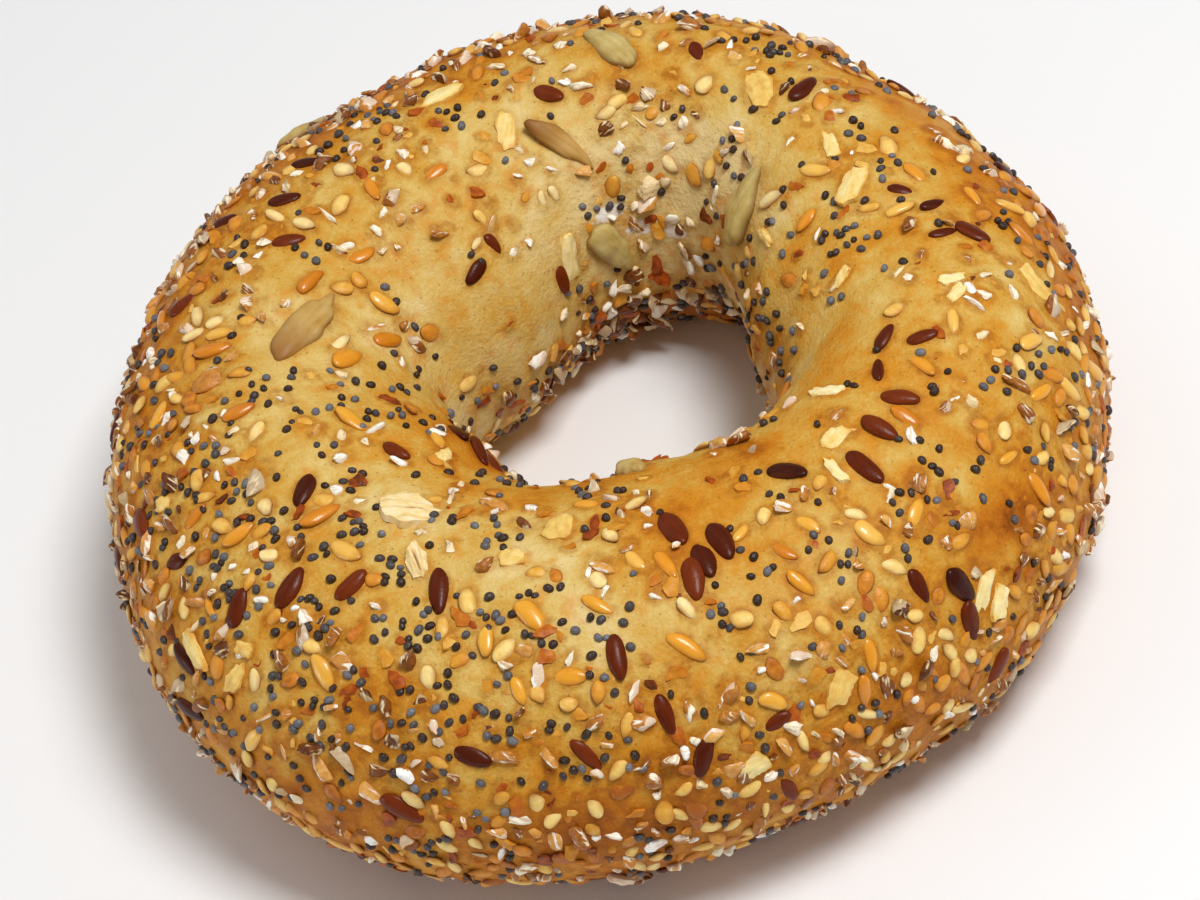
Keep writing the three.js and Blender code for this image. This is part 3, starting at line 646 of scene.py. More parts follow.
def make_mesh(name, points, faces, values, husks=()):
    """A mesh object from points in millimetres, with numbers on its points and faces."""
    mesh = bpy.data.meshes.new(name)
    mesh.from_pydata((np.asarray(points) * MM).tolist(), [], faces)
    mesh.shade_smooth()
    layers = [(key, numbers, "POINT") for key, numbers in values.items()]
    if len(husks):
        layers.append(("husk", husks, "FACE"))
    for key, numbers, domain in layers:
        layer = mesh.attributes.new(key, "FLOAT", domain)
        layer.data.foreach_set("value", np.asarray(numbers, dtype=np.float32))
    mesh.update()
    return add_object(name, mesh)


def add_object(name, data):
    made = bpy.data.objects.new(name, data)
    bpy.context.scene.collection.objects.link(made)
    return made


def skin_relief(points):
    """The fine unevenness of the skin at each point, in millimetres."""
    relief = np.zeros(len(points))
    for height, grain in SKIN_RELIEF:
        for i, point in enumerate(points):
            relief[i] += height * noise.noise(Vector(point / grain))
    return relief


def flat_ways(piece):
    """A piece's own directions while it lies flat on the crust: length, width and out."""
    along, over, out = piece["ways"]
    angle = math.radians(piece["turn"])
    length = along * math.cos(angle) + over * math.sin(angle)
    return length, np.cross(out, length), out


def stains_and_shade(grid):
    """How near each point of the crust is to a piece in it, from 0 to 1 under the piece."""
    stain_and_shade = np.zeros(grid.shape[:2])
    rows, columns = stain_and_shade.shape
    for name, pieces in strewn.kinds.items():
        if name == "poppy":
            continue
        for piece in pieces:
            half_length, half_width = piece["halves"]
            level = (piece["across"] - LOWEST_ACROSS) / (HIGHEST_ACROSS - LOWEST_ACROSS)
            row = round(level * (rows - 1))
            column = round(piece["around"] / 360 * columns)
            radius = math.hypot(piece["spot"][0], piece["spot"][1])
            reach = int((half_length + 2) * columns / (2 * math.pi * radius))
            some_rows = np.arange(max(0, row - STAIN_AND_SHADE_ROWS), min(rows, row + STAIN_AND_SHADE_ROWS + 1))
            some_columns = np.arange(column - reach, column + reach + 1) % columns
            patch = np.ix_(some_rows, some_columns)
            away = grid[patch] - piece["spot"]
            length, width = flat_ways(piece)[:2]
            over = (away @ length / (half_length + STAIN_AND_SHADE_EDGE)) ** 2
            over += (away @ width / (half_width + STAIN_AND_SHADE_EDGE)) ** 2
            stain_and_shade[patch] = np.maximum(stain_and_shade[patch], np.exp(-(over ** 2)))
    return stain_and_shade


def make_bread():
    """The ring of bread, with its skin's relief, and its toast with painted shade in places as a number on
    every point.
    """
    around = np.arange(BREAD_STEPS_AROUND) * 360 / BREAD_STEPS_AROUND
    across = np.linspace(LOWEST_ACROSS, HIGHEST_ACROSS, BREAD_STEPS_ACROSS + 1)
    grid_across, grid_around = np.meshgrid(across, around, indexing="ij")
    crust = crust_point(grid_around, grid_across)
    stain_and_shade = stains_and_shade(crust).reshape(-1)
    out = crust_frame(grid_around, grid_across)[2]
    out[[0, -1]] = 0
    flat = crust.reshape(-1, 3)
    relief = (skin_relief(flat) + GLAZE_RISE * stain_and_shade) * smooth(flat[:, 2], 0, RELIEF_FADE)
    flat = flat + out.reshape(-1, 3) * relief[:, None]
    flat[:, 2] = np.maximum(flat[:, 2], 0)
    toast_and_shade = toast_and_shade_at(grid_around, grid_across).reshape(-1)
    flour = patches(grid_around, grid_across, FLOUR_PATCHES).reshape(-1)

    base_points = []
    base_toast = []
    for i in range(1, BREAD_STEPS_BASE):
        share = i / BREAD_STEPS_BASE
        row = (1 - share) * crust[-1] + share * crust[0]
        row[:, 2] = base_height(share)
        base_points.append(row)
        base_toast.append(np.full(len(around), BASE_TOAST + MIDDLE_TOAST * math.sin(math.pi * share)))
    points = np.vstack([flat, *base_points])
    rest = np.zeros(len(points) - len(flat))
    rows = BREAD_STEPS_ACROSS + BREAD_STEPS_BASE
    faces = []
    for j in range(rows):
        near = j * BREAD_STEPS_AROUND
        far = (j + 1) % rows * BREAD_STEPS_AROUND
        for i in range(BREAD_STEPS_AROUND):
            step = (i + 1) % BREAD_STEPS_AROUND
            faces.append((near + i, near + step, far + step, far + i))
    return make_mesh("bread", points, faces, {
        "toast_and_shade": np.concatenate([toast_and_shade, *base_toast]),
        "stain_and_shade": np.concatenate([stain_and_shade, rest]),
        "flour": np.concatenate([flour, rest]),
    })


# ---- The shapes of the pieces ----

def size_of(kind):
    return np.array([kind["length"], kind["width"], kind["height"]])


def noise_start(draws):
    """A place in the noise of a piece's own."""
    return Vector((draws.uniform(0, 90), draws.uniform(0, 90), 0))


def drop_profile(share, widest, point):
    """Half width along a drop-shaped seed, from its round end at 0 to its tip at 1."""
    if share < widest:
        return math.sqrt(max(0.0, 1 - (1 - share / widest) ** 2))
    return max(0.0, 1 - ((share - widest) / (1 - widest)) ** 1.9) ** point


def seed_shape(kind, steps, sides, widest, point, flat=1.0, rim=0.0):
    """A drop-shaped seed along X, from a ring of sides at each step between its two ends."""
    points = [(-0.5 * kind["length"], 0.0, 0.0)]
    for i in range(1, steps):
        share = 0.5 - 0.5 * math.cos(math.pi * i / steps)
        width = drop_profile(share, widest, point)
        for j in range(sides):
            angle = 2 * math.pi * j / sides
            rise = math.copysign(abs(math.sin(angle)) ** flat, math.sin(angle))
            edge = 1 + rim * math.cos(angle) ** 8
            points.append((
                (share - 0.5) * kind["length"],
                0.5 * kind["width"] * width * math.cos(angle) * edge,
                0.5 * kind["height"] * width ** 0.8 * rise,
            ))
    points.append((0.5 * kind["length"], 0.0, 0.0))
    tip = len(points) - 1
    last = tip - sides
    faces = []
    for j in range(sides):
        step = (j + 1) % sides
        faces.append((0, 1 + step, 1 + j))
        for near in range(1, last, sides):
            far = near + sides
            faces.append((near + j, near + step, far + step, far + j))
        faces.append((tip, last + j, last + step))
    return np.array(points), faces


def own_seed(shape, draws, kind, spread, bumps, bend, ridges=0.0, thin=1.0):
    """One seed of its own: stretched, bumpy, bent and ridged by a little."""
    points, faces = shape
    u, v, w = points.T / (0.5 * size_of(kind))[:, None]
    stretch = np.array([draws.uniform(1 - spread, 1 + 0.6 * spread) for _ in range(3)])
    own = points * stretch * [1, 1, thin]
    if ridges:
        start = draws.uniform(0, 6)
        wave = np.sin(9.5 * v + start) + 0.6 * np.sin(17 * v + 2 * start)
        own[:, 2] += ridges * wave * (1 - u ** 2) * np.sign(own[:, 2])
    shift = noise_start(draws)
    grain = 0.55 * kind["width"]
    swell = [1 + bumps * noise.noise(Vector(point) / grain + shift) for point in own]
    own = own * np.array(swell)[:, None]
    own[:, 1] += draws.uniform(-bend, bend) * u ** 2
    return own, faces, {"u": u, "v": v, "w": w}


def flake_corners(kind, draws, count=FLAKE_CORNERS, reach=FLAKE_REACH, edge=FLAKE_EDGE):
    """The corners of a flake's uneven rim, drawn as in the CAD model."""
    rise = kind["height"] * (1 - kind["sunk"])
    corners = []
    for i in range(count):
        angle = 2 * math.pi * i / count
        far = 0.5 * draws.uniform(*reach)
        x = far * kind["length"] * math.cos(angle)
        y = far * kind["width"] * math.sin(angle)
        corners.append((x, y, rise * draws.uniform(*edge)))
    return corners


def flake_shape(kind, corners, draws, rings, steps, thickness, crinkle, fold=0.0):
    """A thin flake with a broken edge: its top and its underside over an uneven rim."""
    rise = kind["height"] * (1 - kind["sunk"])
    shift = noise_start(draws)
    curl = draws.uniform(-0.06, 0.1)
    half_length = 0.5 * kind["length"]
    half_width = 0.5 * kind["width"]
    rim = []
    for near, far in zip(corners, corners[1:] + corners[:1]):
        for i in range(steps):
            spot = Vector(near).lerp(Vector(far), i / steps)
            ragged = noise.noise(spot * 0.9 + shift) + 0.4 * noise.noise(spot * 2.6 + shift)
            rim.append((spot if kind is KINDS["oat"] else blunt(spot, kind)) * (1 + 0.17 * ragged))
    points = []
    sectors = len(rim)
    for side in (1, 0):
        for i in range(rings + 1):
            share = i / rings
            for spot in rim:
                x = spot.x * share
                y = spot.y * share
                wave = noise.noise(Vector((x, y, 0)) * 0.8 + shift)
                wave += 0.5 * noise.noise(Vector((x * 1.2, y * 3.2, 5)) + shift)
                middle = (y / (0.06 * kind["width"])) ** 2 + (1.6 * x / half_length) ** 4
                crease = fold * math.exp(-middle)
                top = rise * (1 - share ** 2) + spot.z * share ** 2 + crinkle * wave - crease
                top += curl * (x / half_length) ** 2 * half_length * 0.5
                low = -0.2 * (1 - share ** 2) + (top - thickness) * share ** 2
                points.append((x, y, top if side else min(low, top - 0.4 * thickness)))
    faces = []
    per_side = (rings + 1) * sectors
    for side, i, j in itertools.product((0, 1), range(rings), range(sectors)):
        near = side * per_side + i * sectors
        far = near + sectors
        step = (j + 1) % sectors
        face = (near + j, far + j, far + step, near + step) if i else (near, far + j, far + step)
        faces.append(face[::-1] if side else face)
    top = rings * sectors
    low = per_side + top
    for j in range(sectors):
        step = (j + 1) % sectors
        faces.append((top + j, low + j, low + step, top + step))
    points, faces = drop_loose(points, faces)
    return points, faces, {"u": points[:, 0] / half_length, "v": points[:, 1] / half_width}


def blunt(spot, kind):
    """A point of a flake's rim, moved so that the oval flake becomes squarer."""
    u = spot.x / kind["length"]
    v = spot.y / kind["width"]
    share = 0.92 * (math.hypot(u, v) / max(abs(u), abs(v))) ** 0.6
    return Vector((spot.x * share, spot.y * share, spot.z))


def drop_loose(points, faces):
    """The same shape without the points that no face uses."""
    used = sorted({corner for face in faces for corner in face})
    place = {old: new for new, old in enumerate(used)}
    return np.array(points)[used], [tuple(place[corner] for corner in face) for face in faces]


def read_bmesh(made):
    """The points and faces of a bmesh, which is then given up."""
    made.verts.index_update()
    points = np.array([tuple(vertex.co) for vertex in made.verts])
    faces = [tuple(vertex.index for vertex in face.verts) for face in made.faces]
    made.free()
    return points, faces


def chip_shape(kind, draws, corners=10, rough=0.26):
    """A cracked grain: sharp-cornered, a little rough, with its bran left on one side."""
    size = 0.62 * size_of(kind)
    size = size * [draws.uniform(0.8, 1.2), draws.uniform(0.75, 1.2), draws.uniform(0.8, 1.1)]
    made = bmesh.new()
    for _ in range(corners):
        way = unit(np.array([draws.gauss(0, 1) for _ in range(3)]))
        made.verts.new(way * draws.uniform(0.85, 1.1) * size)
    bmesh.ops.convex_hull(made, input=made.verts)
    spare = [vertex for vertex in made.verts if not vertex.link_faces]
    bmesh.ops.delete(made, geom=spare, context="VERTS")
    bmesh.ops.subdivide_edges(made, edges=made.edges[:], cuts=2, use_grid_fill=True)
    ways = dict(use_axis_x=True, use_axis_y=True, use_axis_z=True)
    for _ in range(2):
        bmesh.ops.smooth_vert(made, verts=made.verts[:], factor=0.5, **ways)
    bmesh.ops.triangulate(made, faces=made.faces[:])
    bran_way = Vector((draws.gauss(0, 0.6), draws.gauss(0, 0.6), draws.uniform(-0.3, 1))).normalized()
    level = draws.uniform(-0.8, 0.3)
    husk = [1.0 if face.normal.dot(bran_way) > level else 0.0 for face in made.faces]
    points, faces = read_bmesh(made)
    shift = noise_start(draws)
    bumps = []
    for point in points:
        coarse = noise.noise(Vector(point) * 1.5 + shift)
        fine = noise.noise(Vector(point) * 4.0 + shift)
        bumps.append(1 + rough * coarse + 0.4 * rough * fine)
    values = {"u": points[:, 0] / (0.5 * kind["length"]), "v": points[:, 1] / (0.5 * kind["width"])}
    return points * np.array(bumps)[:, None], faces, values, husk


def poppy_shape(kind, draws, points, faces):
    """A small kidney-shaped seed, from a ball of 42 points and 80 triangles."""
    dent = np.exp(-(((points - [0, 1, 0]) ** 2).sum(axis=1)) / 0.5)
    size = 0.5 * size_of(kind)
    size = size * [draws.uniform(0.92, 1.1), draws.uniform(0.9, 1.05), draws.uniform(0.9, 1.05)]
    return points * (1 - 0.22 * dent)[:, None] * size, faces, {}


# Each of these gives the function that shapes one piece of a kind. The outline of a seed, its own
# changes and the form of a flake are the last arguments of seed_shape, own_seed and flake_shape.

def seeds(kind, outline, own):
    shape = seed_shape(kind, *outline)
    return lambda draws, piece: own_seed(shape, draws, kind, *own)


def flakes(kind, *form):
    return lambda draws, piece: flake_shape(kind, piece["corners"], draws, *form)


def bran_chips(kind):
    def shape(draws, piece):
        corners = flake_corners(kind, draws, 6, (0.6, 1.3), (0.3, 1.0))
        return flake_shape(kind, corners, draws, 2, 2, 0.25, 0.16)

    return shape


def chips(kind, rough):
    return lambda draws, piece: chip_shape(kind, draws, rough=rough)


def poppies(kind):
    made = bmesh.new()
    bmesh.ops.create_icosphere(made, subdivisions=2, radius=1.0)
    ball = read_bmesh(made)
    return lambda draws, piece: poppy_shape(kind, draws, *ball)


# ---- Setting the pieces into the crust ----

def strew(mesh_name, name, shape_of, seed, tilt, sharp):
    """One mesh of all the pieces of a kind, each with its own shape, tone and tilt."""
    draws = random.Random(seed)
    all_points = []
    all_faces = []
    all_values = {}
    all_husks = []
    first = 0
    for piece in strewn.kinds[name]:
        points, faces, values, *husk = shape_of(draws, piece)
        turn, spot = set_in(piece, name, draws, tilt)
        all_points.append(keep_inside(points @ turn.T + spot))
        all_faces.extend(tuple(first + corner for corner in face) for face in faces)
        all_husks.extend(husk[0] if husk else ())
        drawn = draws.random()
        tone = np.full(len(points), drawn if piece["tone"] is None else piece["tone"])
        toast_and_shade = np.full(len(points), toast_and_shade_at(piece["around"], piece["across"]))
        for key, numbers in {**values, "tone": tone, "toast_and_shade": toast_and_shade}.items():
            all_values.setdefault(key, []).append(numbers)
        first += len(points)
    joined = {key: np.concatenate(numbers) for key, numbers in all_values.items()}
    made = make_mesh(mesh_name, np.vstack(all_points), all_faces, joined, all_husks)
    if sharp is not None:
        made.data.set_sharp_from_angle(angle=math.radians(sharp))
    return made


def set_in(piece, name, draws, tilt):
    """The turn, size and place that set a piece into the crust."""
    height = KINDS[name]["height"]
    length, width, out = flat_ways(piece)
    tip_up = math.radians(draws.uniform(-tilt, tilt))
    roll = math.radians(draws.uniform(-tilt, tilt))
    basis = Matrix(np.column_stack([length, width, out]).tolist())
    basis = basis @ Matrix.Rotation(tip_up, 3, "Y") @ Matrix.Rotation(roll, 3, "X")
    lift = 0.0 if name in ("flake", "oat", "bran") else height * (0.5 - KINDS[name]["sunk"])
    lift += height * draws.uniform(*SETTLING)
    if name == "grain":
        lift += height * min(MOST_RAISED, max(0.0, draws.gauss(0, RAISED_SPREAD)))
    return np.array(basis) * piece["stretch"], piece["spot"] + out * lift


def keep_inside(points):
    """The same piece, pushed in where it would stand out of the CAD model's box."""
    low = np.array(cad_low) / MM
    high = np.array(cad_high) / MM
    over = np.maximum(0, points.max(axis=0) - high) - np.maximum(0, low - points.min(axis=0))
    over[2] = max(0, over[2])
    moved = points - over
    moved[:, 2] = np.maximum(moved[:, 2], TABLE_GAP)
    return moved


# ---- Materials ----

class Value:
    """A number or colour that a material's nodes work out, with sums and products of it."""

    def __init__(self, shader, socket):
        self.shader = shader
        self.socket = socket

    def __add__(self, other):
        return self.shader.math("ADD", self, other)

    def __mul__(self, other):
        return self.shader.math("MULTIPLY", self, other)

    def swing(self, amount):
        """A number from 0 to 1 as one from minus half the amount to plus half."""
        return self.shader.math("MULTIPLY_ADD", self, amount, -0.5 * amount)

    def range(self, low, high, to_low=0.0, to_high=1.0):
        """The number as another, which goes from to_low to to_high while it goes from low to high."""
        return self.shader.node(
            "MapRange", "Result", Value=self, From_Min=low, From_Max=high, To_Min=to_low,
            To_Max=to_high,
        )

    def ramp(self, *stops):
        """Colours along the number: each stop is (place, (red, green, blue) from 0 to 255)."""
        colour = self.shader.node("ValToRGB", "Color", Fac=self)
        elements = colour.socket.node.color_ramp.elements
        while len(elements) < len(stops):
            elements.new(0.5)
        for element, (place, shade) in zip(elements, stops):
            element.position = place
            element.color = linear(*shade)
        return colour

    def tint(self, share, other):
        """The colour, with a share of another in it."""
        made = self.shader.tree.nodes.new("ShaderNodeMix")
        made.data_type = "RGBA"
        self.shader.put(made.inputs["Factor"], share)
        self.shader.put(made.inputs[6], self)  # the colour sockets, among sockets for numbers
        self.shader.put(made.inputs[7], other if isinstance(other, Value) else linear(*other))
        return Value(self.shader, made.outputs[2])


class Shader:
    """A material of nodes round one Principled shader."""

    def __init__(self, name, **constants):
        self.material = bpy.data.materials.new(name)
        self.material.use_nodes = True
        self.tree = self.material.node_tree
        self.surface = self.tree.nodes["Principled BSDF"]
        for socket, value in constants.items():
            self.put(self.surface.inputs[socket.replace("_", " ")], value)

    def put(self, socket, value):
        if isinstance(value, Value):
            self.tree.links.new(value.socket, socket)
        else:
            socket.default_value = value

    def node(self, kind, output, **inputs):
        """An output of a new node, whose inputs are given by name."""
        made = self.tree.nodes.new("ShaderNode" + kind)
        for socket, value in inputs.items():
            self.put(made.inputs[socket.replace("_", " ")], value)
        return Value(self, made.outputs[output])

    def math(self, operation, *values):
        made = self.tree.nodes.new("ShaderNodeMath")
        made.operation = operation
        for socket, value in zip(made.inputs, values):
            self.put(socket, value)
        return Value(self, made.outputs[0])

    def __getitem__(self, name):
        """The number that the mesh carries under this name."""
        number = self.node("Attribute", "Fac")
        number.socket.node.attribute_name = name
        return number

    def away(self, name):
        return self.math("ABSOLUTE", self[name])

    def noise(self, grain, detail=3.0, roughness=0.55):
        """Soft noise from 0 to 1, whose grain is in millimetres."""
        place = self.node("TexCoord", "Object")
        return self.node(
            "TexNoise", "Fac", Vector=place, Scale=1 / (grain * MM), Detail=detail,
            Roughness=roughness,
        )

    def wobble(self, amount, grain, detail=3.0, roughness=0.55):
        """The same noise round 0."""
        return self.noise(grain, detail, roughness).swing(amount)

    def streaks(self, along, aside, detail=3.0):
        """Noise that follows a piece's own length, different on each piece."""
        place = self.node(
            "CombineXYZ", "Vector", X=self["u"] * along, Y=self["v"] * aside,
            Z=self["tone"] * 60.0,
        )
        return self.node("TexNoise", "Fac", Vector=place, Scale=1.0, Detail=detail)

    def cells(self, grain):
        """Distance to the nearest of many scattered points."""
        place = self.node("TexCoord", "Object")
        return self.node("TexVoronoi", "Distance", Vector=place, Scale=1 / (grain * MM))

    def browned_and_shaded_foot(self, colour, amount):
        """The colour, browner where the piece meets the crust: partly its own toasting, partly painted
        contact shade.
        """
        return colour.tint(self["w"].range(-0.2, 0.45, amount, 0.0), (112, 56, 16))

    def finish(self, colour, roughness, height=None, depth=0.1):
        """The material, with relief of this depth in millimetres."""
        self.put(self.surface.inputs["Base Color"], colour)
        self.put(self.surface.inputs["Roughness"], roughness)
        if height is not None:
            normal = self.node("Bump", "Normal", Height=height, Distance=depth * MM)
            self.put(self.surface.inputs["Normal"], normal)
        return self.material


def crust_material():
    shader = Shader("baked_crust", Specular_IOR_Level=0.1, Coat_Weight=0.03, Coat_Roughness=0.3)
    stain_and_shade = shader["stain_and_shade"]
    # More toast next to pieces: partly glaze stain, partly painted contact shade.
    toast_and_shade = stain_and_shade * 0.1 + shader["toast_and_shade"]
    toast_and_shade = toast_and_shade + shader.wobble(0.6, 13, 2) + shader.wobble(0.72, 4.5)
    toast_and_shade = toast_and_shade + shader.wobble(0.26, 1.6, 3, 0.65) + shader.wobble(0.34, 0.35, 3, 0.65)
    colour = toast_and_shade.ramp(
        (0.0, (234, 208, 146)), (0.2, (220, 186, 106)), (0.38, (211, 163, 70)),
        (0.54, (206, 139, 38)), (0.7, (192, 114, 20)), (0.86, (168, 90, 10)), (1.0, (126, 65, 10)),
    )
    colour = colour.tint(shader.noise(2.1, 2, 0.4).range(0.54, 0.7, 0.0, 0.55), (214, 138, 30))
    fleck = shader.noise(0.42, 2, 0.5).range(0.56, 0.72, 0.0, 0.35) * toast_and_shade.range(0.3, 0.65, 1.0, 0.1)
    colour = colour.tint(fleck, (230, 200, 128))
    colour = colour.tint(shader.cells(1.1).range(0.03, 0.16, 0.6, 0.0), (126, 78, 26))
    flour = shader["flour"] * 0.7 + shader.wobble(1.35, 0.6, 4)
    flour = flour.range(0.36, 0.62, 0.0, 0.92)
    colour = colour.tint(flour, flour.ramp((0.3, (222, 210, 168)), (0.7, (255, 253, 246))))
    # Darker brown round each piece: partly glaze pooled there, partly painted contact shade.
    near = stain_and_shade.range(0.2, 0.62) * shader.noise(1.2).range(0.38, 0.62, 0.15, 0.7)
    colour = colour.tint(near * toast_and_shade.range(0.1, 0.6, 0.4, 1.0), (158, 90, 20))
    roughness = shader.noise(3).range(0.3, 0.7, 0.4, 0.56)
    return shader.finish(colour, roughness, shader.noise(2.2) * 1.6 + shader.noise(0.45, 4, 0.6), 0.17)


def poppy_material():
    shader = Shader("poppy_seed", Specular_IOR_Level=0.5)
    tone = shader["tone"] + shader.wobble(0.5, 0.25, 2)
    colour = tone.ramp(
        (0.0, (44, 20, 6)), (0.35, (56, 36, 24)), (0.65, (70, 64, 64)), (1.0, (116, 115, 120))
    )
    return shader.finish(colour, 0.42, shader.cells(0.16), 0.06)


def sesame_material():
    shader = Shader("toasted_sesame", Specular_IOR_Level=0.22)
    tone = shader["tone"] * 0.8 + shader.wobble(0.45, 0.9) + shader["toast_and_shade"] * 0.4
    colour = tone.ramp(
        (0.05, (250, 229, 166)), (0.35, (243, 205, 114)), (0.6, (226, 164, 58)),
        (0.85, (216, 136, 40)), (1.0, (166, 90, 26)),
    )
    colour = colour.tint(shader.away("v").range(0.35, 1.0, 0.0, 0.7), (192, 116, 38))
    colour = colour.tint(shader["u"].range(0.3, 1.0, 0.0, 0.7), (160, 84, 24))
    return shader.finish(shader.browned_and_shaded_foot(colour, 0.8), 0.36, shader.noise(0.3, 2), 0.07)


def brown_flax_material():
    shader = Shader("brown_flax", Specular_IOR_Level=0.12, Coat_Weight=0.07, Coat_Roughness=0.15)
    tone = shader["tone"] + shader.streaks(1.5, 2.5).swing(0.7)
    colour = tone.ramp((0.0, (56, 16, 3)), (0.5, (84, 27, 4)), (1.0, (116, 45, 9)))
    # Lighter and redder towards the edges: partly the seed's own rim, partly a painted reflection of the
    # crust.
    colour = colour.tint(shader.away("v").range(0.6, 1.0, 0.0, 0.35), (120, 58, 22))
    return shader.finish(colour, 0.34, shader.noise(0.5, 2), 0.05)


def gold_flax_material():
    shader = Shader("golden_flax", Specular_IOR_Level=0.35, Coat_Weight=0.3, Coat_Roughness=0.15)
    tone = shader["tone"] + shader.streaks(1.2, 2.5).swing(0.6)
    colour = tone.ramp(
        (0.0, (240, 190, 88)), (0.35, (236, 168, 46)), (0.7, (228, 146, 24)), (1.0, (208, 122, 16))
    )
    colour = colour.tint(shader.away("v").range(0.5, 1.0, 0.0, 0.5), (188, 106, 18))
    colour = colour.tint(shader["u"].range(0.45, 1.0, 0.0, 0.55), (176, 94, 16))
    return shader.finish(shader.browned_and_shaded_foot(colour, 0.55), 0.3, shader.noise(0.5, 2), 0.04)


def kernel_material():
    shader = Shader("sunflower_kernel", Specular_IOR_Level=0.25)
    value = shader.streaks(1.4, 3.5, 4) * 0.55 + shader.wobble(0.9, 2.2, 4) + 0.2
    colour = value.ramp(
        (0.15, (160, 124, 58)), (0.4, (192, 166, 94)), (0.6, (206, 186, 120)), (0.85, (224, 210, 154))
    )
    tan = shader["tone"].range(0.2, 0.9, 0.0, 0.6)
    colour = colour.tint(tan, (196, 138, 62))
    colour = colour.tint(tan * shader["u"].range(-0.9, 0.1, 1.5, 0.0), (134, 76, 28))
    colour = colour.tint(shader.away("v").range(0.7, 1.0, 0.0, 0.5), (130, 92, 44))
    return shader.finish(shader.browned_and_shaded_foot(colour, 0.6), 0.48, shader.streaks(2.0, 9.0), 0.05)


def oat_material():
    shader = Shader("oat_flake", Specular_IOR_Level=0.25)
    value = shader.streaks(1.2, 4.0, 4) + shader.wobble(0.4, 0.9)
    colour = value.ramp(
        (0.2, (208, 160, 88)), (0.36, (234, 198, 126)), (0.52, (246, 220, 160)), (0.8, (253, 238, 202))
    )
    # Dark brown along the middle crease: painted shade in the fold.
    crease = shader.away("v").range(0.02, 0.1, 0.85, 0.0) * shader.away("u").range(0.3, 0.6, 1.0, 0.0)
    return shader.finish(colour.tint(crease, (146, 92, 38)), 0.55, shader.streaks(2.0, 6.0, 4))


def flake_material():
    shader = Shader("grain_flake", Specular_IOR_Level=0.25)
    u = shader["u"]
    v = shader["v"]
    edge = shader.math("SQRT", u * u + v * v).range(0.75, 1.1, 0.0, -0.3)
    value = shader.streaks(1.0, 2.5, 4) * 0.45 + shader["tone"].swing(0.4)
    colour = (value + shader.noise(1.0, 4) * 0.4 + edge).ramp(
        (0.1, (216, 158, 68)), (0.3, (238, 198, 106)), (0.5, (248, 224, 152)), (0.75, (254, 242, 200))
    )
    return shader.finish(colour, 0.45, shader.noise(0.6, 4))


def grain_material(name, bran_share, stripe_low, stripe_high):
    """Broken grain: bran and white flour side by side in stripes along each piece."""
    shader = Shader(name, Specular_IOR_Level=0.3)
    value = shader["tone"] + shader.wobble(0.7, 0.7)
    brown = value.ramp(
        (0.0, (92, 44, 10)), (0.35, (150, 86, 26)), (0.7, (202, 132, 50)), (1.0, (228, 174, 94))
    )
    white = value.ramp((0.0, (240, 212, 156)), (0.45, (254, 244, 216)), (1.0, (255, 254, 248)))
    stripes = shader.streaks(0.7, 2.0, 2).range(stripe_low, stripe_high)
    bran = shader.math("MAXIMUM", shader["husk"] * bran_share * stripes, stripes * 0.5)
    return shader.finish(white.tint(bran, brown), 0.36, shader.noise(0.4), 0.12)


def bran_material():
    shader = Shader("bran_chip", Specular_IOR_Level=0.18)
    value = shader["tone"] + shader.wobble(0.6, 0.8)
    colour = value.ramp(
        (0.0, (92, 44, 12)), (0.2, (166, 72, 16)), (0.45, (198, 116, 26)), (0.75, (217, 149, 46)),
        (1.0, (236, 190, 98)),
    )
    return shader.finish(colour, 0.42, shader.noise(0.4), 0.08)


# ---- The scene round it ----

def make_camera():
    """The camera at the photograph's viewing angle."""
    elevation = math.radians(CAMERA_ELEVATION)
    back = Vector((0, -math.cos(elevation), math.sin(elevation)))
    right = Vector((1, 0, 0))
    up = back.cross(right)
    roll = math.radians(CAMERA_ROLL)
    camera_right = right * math.cos(roll) - up * math.sin(roll)
    camera_up = right * math.sin(roll) + up * math.cos(roll)
    target = Vector(CAMERA_TARGET) - Vector(RING_MIDDLE)
    data = bpy.data.cameras.new("camera")
    data.lens = CAMERA_LENS
    data.sensor_width = SENSOR_WIDTH
    data.sensor_fit = "HORIZONTAL"
    data.clip_start = 0.01
    camera = add_object("camera", data)
    turn = Matrix((camera_right, camera_up, back)).transposed().to_4x4()
    place = Matrix.Translation((target + back * CAMERA_DISTANCE) * MM)
    camera.matrix_world = place @ turn
    bpy.context.scene.camera = camera


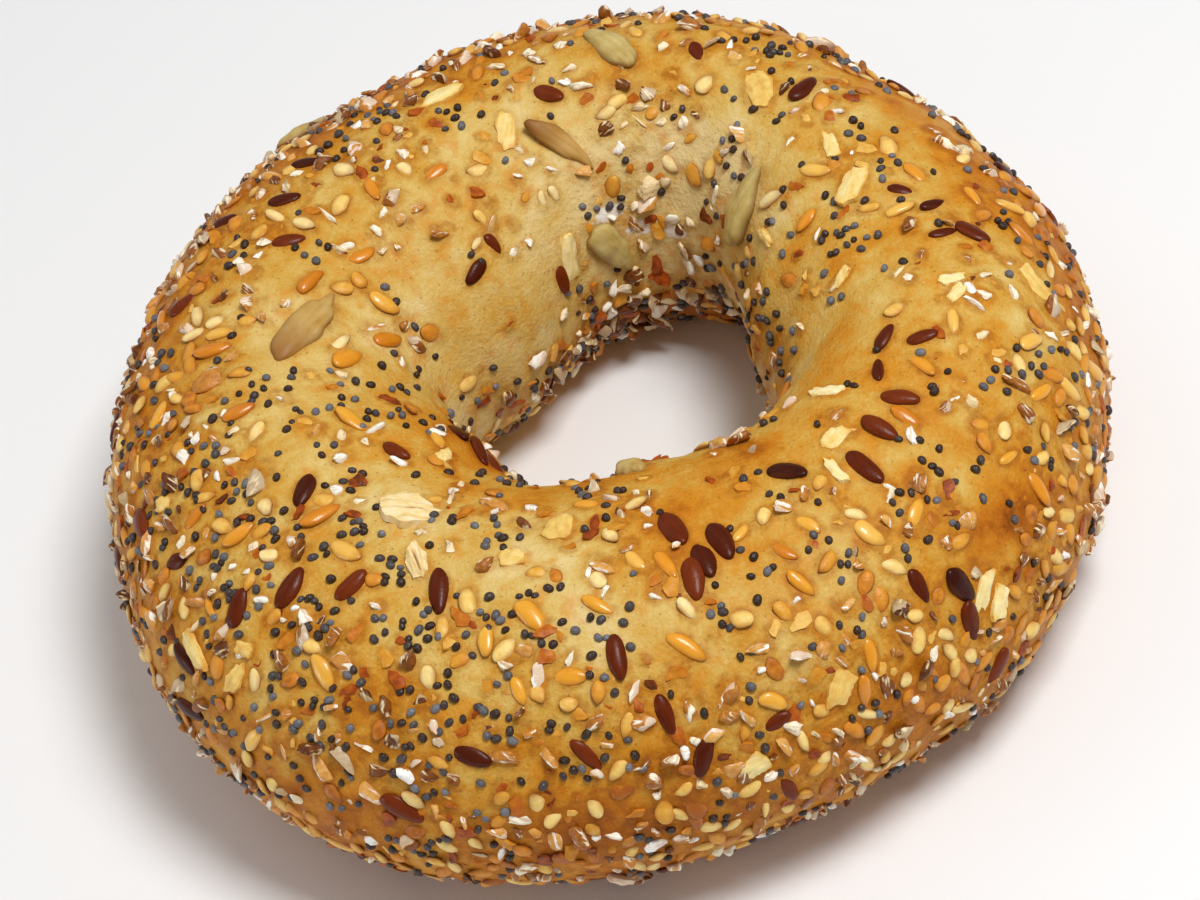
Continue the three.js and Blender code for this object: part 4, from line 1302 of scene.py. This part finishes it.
def make_studio():
    """A pale table, soft light from above and a pale surround."""
    mesh = bpy.data.meshes.new("table")
    corners = [(x * HALF_TABLE, y * HALF_TABLE, 0) for x, y in ((-1, -1), (1, -1), (1, 1), (-1, 1))]
    mesh.from_pydata(corners, [], [(0, 1, 2, 3)])
    floor = add_object("table", mesh)
    mesh.materials.append(Shader("white_table").finish(linear(246, 246, 246), 0.8))
    world = bpy.data.worlds.new("studio")
    world.use_nodes = True
    background = world.node_tree.nodes["Background"]
    background.inputs["Color"].default_value = (1, 1, 1, 1)
    background.inputs["Strength"].default_value = SURROUND_LIGHT
    bpy.context.scene.world = world
    for name, place, size, power in LIGHTS:
        data = bpy.data.lights.new(name, "AREA")
        data.size = size
        data.energy = power
        light = add_object(name, data)
        light.location = place
        light.rotation_euler = (-Vector(place)).to_track_quat("-Z", "Y").to_euler()
    bpy.context.scene.view_settings.view_transform = "Standard"


def dress(piece, material):
    """Gives a piece its finish and lets it ride on the CAD body."""
    piece.data.materials.append(material)
    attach(piece, "root")


def toppings():
    """For each kind: its mesh's name, its name, shapes, seed, tilt, sharp angle, finish and slot."""
    kernel, oat, flake, brown, gold, sesame, grain, white, bran, poppy = KINDS.values()
    return [
        ("sunflower_kernels", "sunflower",
         seeds(kernel, (30, 44, 0.42, 0.85), (0.1, 0.24, 0.5, 0.03)),
         21, 8, None, kernel_material(), "kernel"),
        ("oat_flakes", "oat", flakes(oat, 16, 8, 0.9, 0.22, 0.5), 22, 8, 50, oat_material(), "flake"),
        ("grain_flakes", "flake", flakes(flake, 8, 6, 0.55, 0.14), 23, 8, 50, flake_material(), "flake"),
        ("brown_flax_seeds", "brown_flax",
         seeds(brown, (12, 14, 0.41, 0.5, 1.25, 0.03), (0.14, 0.08, 0.15, 0.0, 0.85)),
         24, 8, None, brown_flax_material(), "brown_flax"),
        ("golden_flax_seeds", "gold_flax",
         seeds(gold, (12, 14, 0.41, 0.54, 1.15), (0.14, 0.1, 0.2, 0.02, 0.88)),
         25, 8, None, gold_flax_material(), "gold_flax"),
        ("sesame_seeds", "sesame",
         seeds(sesame, (9, 12, 0.42, 0.78, 0.85, 0.06), (0.16, 0.16, 0.22, 0.02, 0.85)),
         26, 16, None, sesame_material(), "sesame"),
        ("cracked_grain", "grain", chips(grain, 0.26),
         27, 38, 55, grain_material("cracked_grain", 1.0, 0.36, 0.44), "grit"),
        ("white_grain", "white", chips(white, 0.45),
         28, 25, 55, grain_material("white_grain", 0.4, 0.54, 0.64), "grit"),
        ("bran_chips", "bran", bran_chips(bran), 29, 22, 45, bran_material(), "grit"),
        ("poppy_seeds", "poppy", poppies(poppy), 30, 8, None, poppy_material(), "poppy"),
    ]


make_camera()
make_studio()
place_all()
bread = make_bread()
dress(bread, crust_material())
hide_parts("bagel")
for *how, finish, where in toppings():
    dress(strew(*how), finish)
